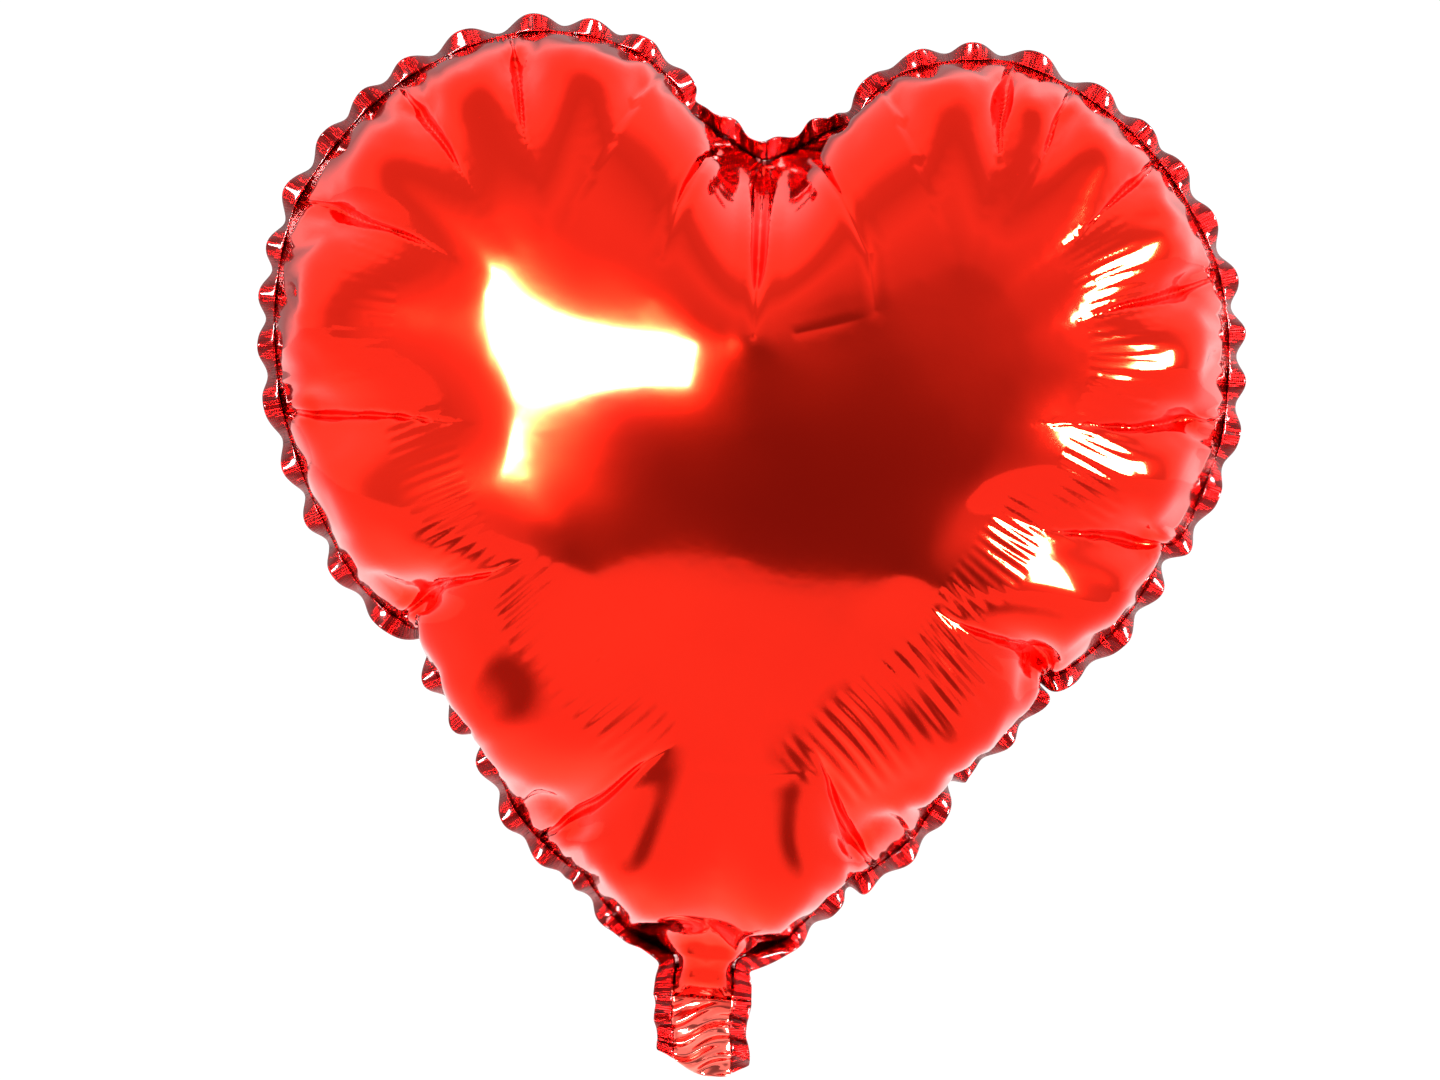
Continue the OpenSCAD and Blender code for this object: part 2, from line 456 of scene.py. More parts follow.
@dataclass
class HeartOutline:
    """The heart's cut edge and the lines inside it, as the CAD model draws them."""

    cleft_z: float = 331 * MM
    cleft_side: float = 43 * MM
    cleft_slope: float = math.radians(29)
    # Radius and turn in degrees of each arc, from the lobe down to the neck.
    arcs: tuple[tuple[float, float], ...] = (
        (91 * MM, 53.5), (116 * MM, 77.0), (244 * MM, 29.3), (837 * MM, 7.0))
    tail_half: float = 19 * MM
    fold_z: float = -7 * MM
    seal_w: float = 7 * MM
    trial_steps: int = 40

    def segments(self, inset: float, steps: list[int]) -> list[list[tuple[float, float]]]:
        """Walk the right half from the cleft down to the tail's fold.

        Args:
            inset: How far inside the cut edge the line runs.
            steps: How many points each of the seven segments takes.

        Returns:
            The points of each segment, its start included.
        """
        heading = self.cleft_slope
        x, z = 0.0, self.cleft_z - inset / math.cos(heading)
        side = self.cleft_side + inset * math.tan(heading)
        n = steps[0]
        walk = [[(x + side * i / n * math.cos(heading), z + side * i / n * math.sin(heading))
                 for i in range(n + 1)]]
        for (radius, turn), n in zip(self.arcs, steps[1:5]):
            x, z = walk[-1][-1]
            r = radius - inset
            angles = [heading - math.radians(turn) * i / n for i in range(n + 1)]
            walk.append([(x + r * (math.sin(heading) - math.sin(a)),
                          z + r * (math.cos(a) - math.cos(heading))) for a in angles])
            heading = angles[-1]
        x, z = walk[-1][-1]
        stop = self.tail_half - inset
        low = z + (stop - x) * math.tan(heading)
        for n, end in ((steps[5], (stop, low)), (steps[6], (stop, self.fold_z))):
            x, z = walk[-1][-1]
            walk.append([(x + (end[0] - x) * i / n, z + (end[1] - z) * i / n) for i in range(n + 1)])
        return walk

    def steps_for(self, spacing: float) -> list[int]:
        """Count the steps that each segment of the seam needs.

        Args:
            spacing: How far apart the seam's points are.

        Returns:
            The number of steps of each of the seven segments.
        """
        coarse = self.segments(self.seal_w, [self.trial_steps] * 7)
        lengths = [sum(math.dist(a, b) for a, b in zip(s, s[1:])) for s in coarse]
        return [max(2, round(length / spacing)) for length in lengths]

    def half(self, inset: float, steps: list[int]) -> Points:
        """Join the segments of the right half into one row of points."""
        walk = self.segments(inset, steps)
        return np.array(walk[0] + [p for s in walk[1:] for p in s[1:]])


@dataclass
class FoilLattice:
    """Both films as one triangle lattice, fine near the seam and coarser in the taut middle."""

    outline: HeartOutline = field(default_factory=HeartOutline)
    spacing: float = 4.2 * MM
    fine_reach: float = 76 * MM
    rim_rows: int = 2
    neck_columns: int = 12
    half_span: float = 0.2
    over_top: float = 0.05
    axis_clear: tuple[float, float] = (0.6, 1.1)
    seam_clear: float = 0.62
    weld: float = 1e-7
    steps: list[int] = field(init=False)
    right: Points = field(init=False)
    seam: Points = field(init=False)
    tree: KDTree = field(init=False)
    flat: Points = field(init=False)
    triangles: list[Face] = field(init=False)

    def __post_init__(self) -> None:
        """Lay out the seam loop and fill it with triangles."""
        self.steps = self.outline.steps_for(self.spacing)
        self.right = self.outline.half(self.outline.seal_w, self.steps)
        half_w = self.outline.tail_half - self.outline.seal_w
        across = [(half_w - 2 * half_w * i / self.neck_columns, self.outline.fold_z)
                  for i in range(1, self.neck_columns)]
        left = [(-x, z) for x, z in self.right[:0:-1]]
        self.seam = np.array([tuple(p) for p in self.right] + across + left)
        self.tree = KDTree(len(self.seam))
        for i, (x, z) in enumerate(self.seam):
            self.tree.insert((x, z, 0), i)
        self.tree.balance()
        self._fill()

    def _inside(self, x: float, z: float) -> bool:
        """Say whether a point is inside the seam loop.

        Args:
            x: Its place across the flat film.
            z: Its place up the flat film.

        Returns:
            True inside the loop.
        """
        a, b = self.seam, np.roll(self.seam, 1, axis=0)
        crosses = (a[:, 1] > z) != (b[:, 1] > z)
        with np.errstate(divide="ignore", invalid="ignore"):
            cut = (b[:, 0] - a[:, 0]) * (z - a[:, 1]) / (b[:, 1] - a[:, 1]) + a[:, 0]
        return bool(np.count_nonzero(crosses & (x < cut)) % 2)

    def _fill(self) -> None:
        """Fill the seam loop with a hexagonal lattice and triangulate it."""
        gap = self.spacing
        top, low = self.seam[0][1], self.outline.fold_z
        count = round((top - low) / gap)
        line = [(0.0, top - (top - low) * i / count) for i in range(1, count)]
        points = [p for i, p in enumerate(line)
                  if i % 2 == 0 or self.tree.find((*p, 0))[2] < self.fine_reach]
        row, z = 0, low
        fine_clear, coarse_clear = self.axis_clear
        while z < top + self.over_top:
            shift = gap / 2 if row % 2 else 0.0
            reach = math.floor(self.half_span / gap)
            for i in range(-reach, reach + 1):
                x = i * gap + shift
                away = self.tree.find((x, z, 0))[2]
                coarse = row % 2 == 0 and (i + row // 2) % 2 == 0
                clear = fine_clear if away < self.fine_reach else coarse_clear
                if abs(x) < clear * gap or away < self.seam_clear * gap:
                    continue
                if (coarse or away < self.fine_reach) and self._inside(x, z):
                    points.append((x, z))
            z += gap * math.sqrt(0.75)
            row += 1
        loop = [tuple(p) for p in self.seam]
        edges = [(i, (i + 1) % len(loop)) for i in range(len(loop))]
        found, _, faces, *_ = delaunay_2d_cdt([Vector(p) for p in loop + points], edges, [], 1, self.weld)
        self.flat = np.array([tuple(p) for p in found])
        self.triangles = [tuple(f) for f in faces]
        for i, (a, b, c) in enumerate(self.triangles):
            pa, pb, pc = self.flat[a], self.flat[b], self.flat[c]
            turn = (pb[0] - pa[0]) * (pc[1] - pa[1]) - (pb[1] - pa[1]) * (pc[0] - pa[0])
            if turn < 0:
                self.triangles[i] = (c, b, a)

    @property
    def seam_count(self) -> int:
        """How many points the seam loop has."""
        return len(self.seam)

    @property
    def film_count(self) -> int:
        """How many points one film has, its seam included."""
        return len(self.flat)

    def back_index(self, i: int) -> int:
        """The back film's vertex that lies behind a front one; they share the seam."""
        return i if i < self.seam_count else self.film_count + i - self.seam_count

    def rim_path(self, inset: float) -> Points:
        """Walk one row of the rim, down the right side from the cleft and back up the left.

        Args:
            inset: How far inside the cut edge the row runs.

        Returns:
            One row of X, Z for each point.
        """
        right = self.outline.half(inset, self.steps)
        left = np.c_[-right[:0:-1, 0], right[:0:-1, 1]]
        return np.concatenate([right, left])

    def rim_seam_index(self) -> list[int]:
        """The seam vertices that the rim's rows grow from, in the rim's order."""
        n = len(self.right)
        return list(range(n)) + list(range(n + self.neck_columns - 1, self.seam_count))

    def measure(self, flat: Points) -> tuple[Points, Points]:
        """Measure points of the flat film against the seam.

        Args:
            flat: One row of X, Z for each point.

        Returns:
            Each point's arc length along the seam from the cleft, and its distance from the seam.
        """
        near = np.array([self.tree.find((x, z, 0))[1] for x, z in flat])
        run, count = self.arc_length(), self.seam_count
        best, arc = np.full(len(flat), np.inf), np.zeros(len(flat))
        for step in (-1, 1):
            other = (near + step) % count
            a, b = self.seam[near], self.seam[other]
            share = np.clip(np.sum((flat - a) * (b - a), axis=1) / np.sum((b - a) ** 2, axis=1), 0, 1)
            gap = np.linalg.norm(flat - a - share[:, None] * (b - a), axis=1)
            closer = gap < best
            best[closer] = gap[closer]
            arc[closer] = ((1 - share) * run[near] + share * run[other])[closer]
        return arc, best

    def arc_length(self) -> Points:
        """Measure the seam from the cleft down, the same on both sides.

        Returns:
            The arc length at each seam point.
        """
        run = np.r_[0, np.cumsum(np.linalg.norm(np.diff(self.right, axis=0), axis=1))]
        across = np.full(self.neck_columns - 1, run[-1])
        return np.r_[run, across, run[:0:-1]]


# ---------------------------------------------------------------- creases, lumps and ripples


@dataclass(frozen=True)
class RimCrease:
    """A crease that runs in from the seam: where it starts, how far in it goes, its drift and depth."""

    arc: float
    length: float
    drift: float
    depth: float


@dataclass(frozen=True)
class RippleBand:
    """A patch of fine ripples: its stretch of the seam, its distances from the seam and its height."""

    right: bool
    arc: tuple[float, float]
    gap: tuple[float, float]
    height: float


@dataclass(frozen=True)
class Fold:
    """A crease away from the seam, through X, Z points on the front of the inflated heart."""

    path: tuple[tuple[float, float], ...]
    depth: float
    width: float


@dataclass
class PuckeredRim:
    """What the film does where it is too long for the seam: creases, barrel lumps and ripples."""

    right: tuple[RimCrease, ...] = (
        RimCrease(106 * MM, 30 * MM, 3 * MM, 1.0 * MM),
        RimCrease(129 * MM, 26 * MM, 3 * MM, 0.9 * MM),
        RimCrease(169 * MM, 42 * MM, 6 * MM, 1.3 * MM),
        RimCrease(216 * MM, 52 * MM, 6 * MM, 1.5 * MM),
        RimCrease(268 * MM, 64 * MM, 22 * MM, 1.6 * MM),
        RimCrease(317 * MM, 46 * MM, 24 * MM, 1.5 * MM),
        RimCrease(381 * MM, 62 * MM, 18 * MM, 2.2 * MM),
        RimCrease(486 * MM, 50 * MM, -10 * MM, 2.1 * MM),
    )
    left: tuple[RimCrease, ...] = (
        RimCrease(114 * MM, 40 * MM, 0.0, 1.2 * MM),
        RimCrease(157 * MM, 48 * MM, 2 * MM, 1.4 * MM),
        RimCrease(212 * MM, 60 * MM, -5 * MM, 1.6 * MM),
        RimCrease(288 * MM, 66 * MM, 22 * MM, 1.7 * MM),
        RimCrease(373 * MM, 62 * MM, 16 * MM, 2.2 * MM),
        RimCrease(482 * MM, 58 * MM, 8 * MM, 2.1 * MM),
    )
    bands: tuple[RippleBand, ...] = (
        RippleBand(True, (165 * MM, 335 * MM), (16 * MM, 54 * MM), 0.20 * MM),
        RippleBand(True, (320 * MM, 402 * MM), (34 * MM, 66 * MM), 0.24 * MM),
        RippleBand(True, (392 * MM, 492 * MM), (16 * MM, 62 * MM), 0.32 * MM),
        RippleBand(False, (296 * MM, 392 * MM), (26 * MM, 60 * MM), 0.20 * MM),
        RippleBand(False, (392 * MM, 492 * MM), (32 * MM, 70 * MM), 0.24 * MM),
        RippleBand(False, (195 * MM, 298 * MM), (12 * MM, 50 * MM), 0.10 * MM),
    )
    folds: tuple[Fold, ...] = (
        Fold(((0, 0.318), (0, 0.292), (0.0004, 0.268), (0, 0.244)), 2.6 * MM, 2.0 * MM),
        Fold(((-0.0165, 0.319), (-0.0245, 0.307), (-0.031, 0.292), (-0.0355, 0.272)), 1.1 * MM, 1.8 * MM),
        Fold(((-0.0205, 0.316), (-0.0285, 0.301), (-0.034, 0.284)), 0.7 * MM, 1.5 * MM),
        Fold(((0.0165, 0.318), (0.0295, 0.300), (0.0405, 0.279), (0.0445, 0.258)), 1.2 * MM, 1.8 * MM),
        Fold(((0.014, 0.246), (0.029, 0.251), (0.043, 0.256)), 0.18 * MM, 1.4 * MM),
        Fold(((-0.012, 0.084), (0.013, 0.0835), (0.039, 0.087)), 0.4 * MM, 2.2 * MM),
    )
    ripple_pitch: float = 5.6 * MM
    ripple_sway: Sway = Sway(2.1 * MM, 27 * MM)
    cross_swing: float = 1.1 * MM
    cross_pitch: tuple[float, float] = (12 * MM, 19 * MM)
    beat: tuple[float, float] = (0.65, 0.35)
    beat_pitch: tuple[float, float] = (8.3 * MM, 14 * MM)
    band_fade: float = 12 * MM
    band_inner_fade: float = 14 * MM
    barrel: float = 6.5 * MM
    barrel_reach: float = 35 * MM
    barrel_width: float = 50 * MM
    barrel_share: tuple[float, float] = (0.5, 1.2)
    barrel_roundness: float = 0.85
    barrel_mean: float = 0.55
    first_barrel: float = 55 * MM
    last_barrel: float = 12 * MM
    drift_reach: float = 50 * MM
    wander: float = 1.2 * MM
    wander_pitch: float = 8.5 * MM
    wander_spread: float = 90.0
    wander_reach: float = 25 * MM
    crease_width: float = 0.75 * MM
    crease_spread: float = 0.010
    crease_start: float = 3 * MM
    crease_full: float = 0.45
    crease_bank: Bank = Bank(0.12, 3.2, 1.8)
    fold_bank: Bank = Bank(0.25, 2.6, 1.4)
    fold_start: float = 0.08
    fold_full: float = 0.55
    fold_fade: float = 0.85
    fold_reach: float = 4
    sharpness: float = 1.4
    crest: tuple[float, float] = (0.0, 0.244)
    crest_height: float = 5.5 * MM
    crest_reach: float = 42 * MM
    crest_blunt: float = 1.5 * MM

    def path(self, crease: RimCrease, gap: Points) -> Points:
        """Follow a crease inwards, drifting and slightly wavy.

        Args:
            crease: The crease.
            gap: Distances from the seam.

        Returns:
            The crease's place along the seam at each distance.
        """
        wave = self.wander * np.sin(gap / self.wander_pitch + crease.arc * self.wander_spread) * np.clip(
            gap / self.wander_reach, 0, 1)
        return crease.arc + crease.drift * gap / self.drift_reach + wave

    def barrels(self, arc: Points, gap: Points, right: Points, total: float) -> Points:
        """Shape of the lumps between neighbouring creases.

        Args:
            arc: Arc length of each point along the seam from the cleft.
            gap: Distance of each point from the seam.
            right: Whether each point is on the right half.
            total: Arc length from the cleft to the neck.

        Returns:
            A height from about -0.5 in a crease to 0.6 on a lump.
        """
        height = np.zeros(len(arc))
        for mine, creases in ((right, self.right), (~right, self.left)):
            paths = [np.full(len(arc), self.first_barrel)] + [self.path(c, gap) for c in creases] + [
                np.full(len(arc), total - self.last_barrel)]
            for low, high in zip(paths, paths[1:]):
                span = high - low
                inside = mine & (arc >= low) & (arc < high)
                part = (arc - low) / span
                arch = np.abs(np.sin(math.pi * part)) ** self.barrel_roundness - self.barrel_mean
                value = np.clip(span / self.barrel_width, *self.barrel_share) * arch
                height[inside] = value[inside]
        return height

    def creases(self, arc: Points, gap: Points, right: Points) -> Points:
        """Shape the rim creases, each a narrow valley with a low bank beside it.

        Args:
            arc: Arc length of each point along the seam from the cleft.
            gap: Distance of each point from the seam.
            right: Whether each point is on the right half.

        Returns:
            The creases' height at each point, in metres.
        """
        total = np.zeros(len(arc))
        for mine, creases in ((right, self.right), (~right, self.left)):
            for crease in creases:
                off = np.abs(arc - self.path(crease, gap))
                width = self.crease_width + self.crease_spread * gap
                fade = smoothstep(gap, 0, self.crease_start)
                fade = fade * (1 - smoothstep(gap, self.crease_full * crease.length, crease.length))
                valley = np.exp(-(off / width) ** self.sharpness)
                profile = self.crease_bank.at(off, width) - valley
                total[mine] += (crease.depth * fade * profile)[mine]
        return total

    def band_strength(self, arc: Points, gap: Points, right: Points) -> Points:
        """Work out how high the ripples may stand.

        Args:
            arc: Arc length of each point along the seam from the cleft.
            gap: Distance of each point from the seam.
            right: Whether each point is on the right half.

        Returns:
            The ripples' greatest height at each point, in metres.
        """
        total = np.zeros(len(arc))
        for band in self.bands:
            ends = smoothstep(arc, band.arc[0], band.arc[0] + self.band_fade) * (
                1 - smoothstep(arc, band.arc[1] - self.band_fade, band.arc[1]))
            reach = smoothstep(gap, band.gap[0], band.gap[0] + self.band_fade) * (
                1 - smoothstep(gap, band.gap[1] - self.band_inner_fade, band.gap[1]))
            here = right == band.right
            total[here] = np.maximum(total, band.height * ends * reach)[here]
        return total

    def ripples(self, arc: Points, gap: Points, right: Points) -> Points:
        """Shape the ripples: they sway along the seam and beat from strong to weak, as real ones do.

        Args:
            arc: Arc length of each point along the seam from the cleft.
            gap: Distance of each point from the seam.
            right: Whether each point is on the right half.

        Returns:
            The ripples' height at each point, in metres.
        """
        inwards, along = self.cross_pitch
        sway = self.ripple_sway.at(arc) + self.cross_swing * np.sin(gap / inwards + arc / along)
        along, inwards = self.beat_pitch
        beat = self.beat[0] + self.beat[1] * np.sin(arc / along + gap / inwards)
        wave = np.sin(math.tau * (arc + sway) / self.ripple_pitch)
        return self.band_strength(arc, gap, right) * beat * wave

    def crest_point(self, place: Points) -> Points:
        """Lift the film to a blunt point where the cleft's crease ends, in metres, at X, Z places."""
        away = np.linalg.norm(place - np.array(self.crest), axis=1)
        return self.crest_height * np.exp(-np.maximum(away, self.crest_blunt) / self.crest_reach)

    def near_crease(self, arc: Points, gap: Points, right: Points, reach: float) -> Points:
        """Say which points are near a rim crease and need the finer mesh.

        Args:
            arc: Arc length of each point along the seam from the cleft.
            gap: Distance of each point from the seam.
            right: Whether each point is on the right half.
            reach: How near is near.

        Returns:
            True at each such point.
        """
        near = np.zeros(len(arc), dtype=bool)
        for mine, creases in ((right, self.right), (~right, self.left)):
            for crease in creases:
                off = np.abs(arc - self.path(crease, gap))
                near |= mine & (off < reach) & (gap < crease.length)
        return near

    def near_fold(self, place: Points, reach: float) -> Points:
        """Say which places are near a fold and need the finer mesh.

        Args:
            place: X, Z of each point of the front.
            reach: How near is near.

        Returns:
            True at each such place.
        """
        near = np.zeros(len(place), dtype=bool)
        for fold in self.folds:
            for a, b in zip(np.array(fold.path), np.array(fold.path)[1:]):
                share = np.clip(((place - a) @ (b - a)) / ((b - a) @ (b - a)), 0, 1)
                near |= np.linalg.norm(place - a - share[:, None] * (b - a), axis=1) < reach
        return near

    def folded(self, place: Points) -> Points:
        """Shape the folds that lie away from the seam, deepest near their start.

        Args:
            place: X, Z of each point of the inflated front.

        Returns:
            The folds' height at each point, in metres.
        """
        total = np.zeros(len(place))
        for fold in self.folds:
            spots = np.array(fold.path)
            lengths = np.r_[0, np.cumsum(np.linalg.norm(np.diff(spots, axis=0), axis=1))]
            best, along = np.full(len(place), np.inf), np.zeros(len(place))
            for k, (a, b) in enumerate(zip(spots, spots[1:])):
                share = np.clip(((place - a) @ (b - a)) / ((b - a) @ (b - a)), 0, 1)
                off = np.linalg.norm(place - a - share[:, None] * (b - a), axis=1)
                closer = off < best
                best[closer] = off[closer]
                along[closer] = (lengths[k] + share * (lengths[k + 1] - lengths[k]))[closer]
            part = along / lengths[-1]
            fade = 1 - self.fold_fade * smoothstep(part, self.fold_full, 1)
            fade = smoothstep(part, 0, self.fold_start) * fade
            fade = np.where(best < self.fold_reach * fold.width, fade, 0)
            valley = np.exp(-(best / fold.width) ** self.sharpness)
            total += fold.depth * fade * (self.fold_bank.at(best, fold.width) - valley)
        return total


@dataclass
class FilmMesh:
    """A film as triangles; each vertex holds its X, Y, Z and its X, Z on the flat film."""

    data: Points
    faces: Points

    def edges(self) -> tuple[Points, Points, Points]:
        """List the edges.

        Returns:
            Each edge's two vertices, the edge numbers of each face, and whether each is a border.
        """
        pairs = np.stack([self.faces, np.roll(self.faces, -1, axis=1)], axis=2)
        found, which = np.unique(np.sort(pairs, axis=2).reshape(-1, 2), axis=0, return_inverse=True)
        which = which.reshape(-1, 3)
        return found, which, np.bincount(which.ravel(), minlength=len(found)) == 1

    def subdivided(self, chosen: Points) -> "FilmMesh":
        """Split chosen triangles in four by Loop's rule, and their neighbours to match.

        Args:
            chosen: Whether each face is split in four.

        Returns:
            The finer film; vertices keep their numbers and new ones follow.
        """
        edges, which, border = self.edges()
        split = np.zeros(len(edges), dtype=bool)
        split[which[chosen].ravel()] = True
        count = len(self.data)
        across = np.zeros((len(edges), self.data.shape[1]))
        np.add.at(across, which.ravel(), self.data[np.roll(self.faces, 1, axis=1).ravel()])
        ends = self.data[edges[:, 0]] + self.data[edges[:, 1]]
        middle = np.where(border[:, None], ends / 2, 3 / 8 * ends + across / 8)
        old = self._smoothed_corners(edges, split, border)
        number = np.full(len(edges), -1)
        number[split] = count + np.arange(np.count_nonzero(split))
        faces = []
        for corners, marks in zip(self.faces.tolist(), number[which].tolist()):
            cuts = sum(mark >= 0 for mark in marks)
            if cuts == 0:
                faces.append(tuple(corners))
            elif cuts == 3:
                (a, b, c), (ab, bc, ca) = corners, marks
                faces += [(a, ab, ca), (ab, b, bc), (ca, bc, c), (ab, bc, ca)]
            elif cuts == 1:
                k = next(i for i in range(3) if marks[i] >= 0)
                a, b, c = (corners[(k + i) % 3] for i in range(3))
                faces += [(a, marks[k], c), (marks[k], b, c)]
            else:
                k = next(i for i in range(3) if marks[i] < 0)
                a, b, c = (corners[(k + i) % 3] for i in range(3))
                bc, ca = marks[(k + 1) % 3], marks[(k + 2) % 3]
                faces += [(a, b, bc), (a, bc, ca), (ca, bc, c)]
        return FilmMesh(np.concatenate([old, middle[split]]), np.array(faces))

    def _smoothed_corners(self, edges: Points, split: Points, border: Points) -> Points:
        """Move the old vertices by Loop's rule where every edge round them is split.

        Args:
            edges: Each edge's two vertices.
            split: Whether each edge is split.
            border: Whether each edge is on the film's border.

        Returns:
            The rows of the old vertices.
        """
        count = len(self.data)
        whole = np.ones(count, dtype=bool)
        whole[edges[~split].ravel()] = False
        rim = np.zeros(count, dtype=bool)
        rim[edges[border].ravel()] = True
        use = np.where(rim[edges[:, 0]] & rim[edges[:, 1]], border, True)
        result = self.data.copy()
        for on_rim in (False, True):
            chosen = edges[border] if on_rim else edges[use]
            total = np.zeros_like(self.data)
            for a, b in ((0, 1), (1, 0)):
                np.add.at(total, chosen[:, a], self.data[chosen[:, b]])
            degree = np.maximum(np.bincount(chosen.ravel(), minlength=count), 1)[:, None]
            pull = 1 / 4 if on_rim else 3 / 8
            moved = (1 - pull) * self.data + pull * total / degree
            mine = whole & (rim == on_rim)
            result[mine] = moved[mine]
        return result

    def relaxed(self, weight: Points, rounds: int) -> "FilmMesh":
        """Smooth the film, keeping its places on the flat film.

        Args:
            weight: How strongly each vertex moves to the middle of its neighbours, 0 to 1.
            rounds: How many times.

        Returns:
            The smoothed film.
        """
        edges, _, _ = self.edges()
        data = self.data.copy()
        degree = np.bincount(edges.ravel(), minlength=len(data))[:, None]
        for _ in range(rounds):
            total = np.zeros((len(data), 3))
            for a, b in ((0, 1), (1, 0)):
                np.add.at(total, edges[:, a], data[edges[:, b], :3])
            data[:, :3] += (total / degree - data[:, :3]) * weight[:, None]
        return FilmMesh(data, self.faces)

    def normals(self) -> Points:
        """Work out the outward direction at each vertex.

        Returns:
            One unit vector for each vertex.
        """
        corners = self.data[:, :3][self.faces]
        face = np.cross(corners[:, 1] - corners[:, 0], corners[:, 2] - corners[:, 0])
        total = np.zeros((len(self.data), 3))
        for k in range(3):
            np.add.at(total, self.faces[:, k], face)
        return total / np.maximum(np.linalg.norm(total, axis=1, keepdims=True), 1e-12)


# ---------------------------------------------------------------- inflation


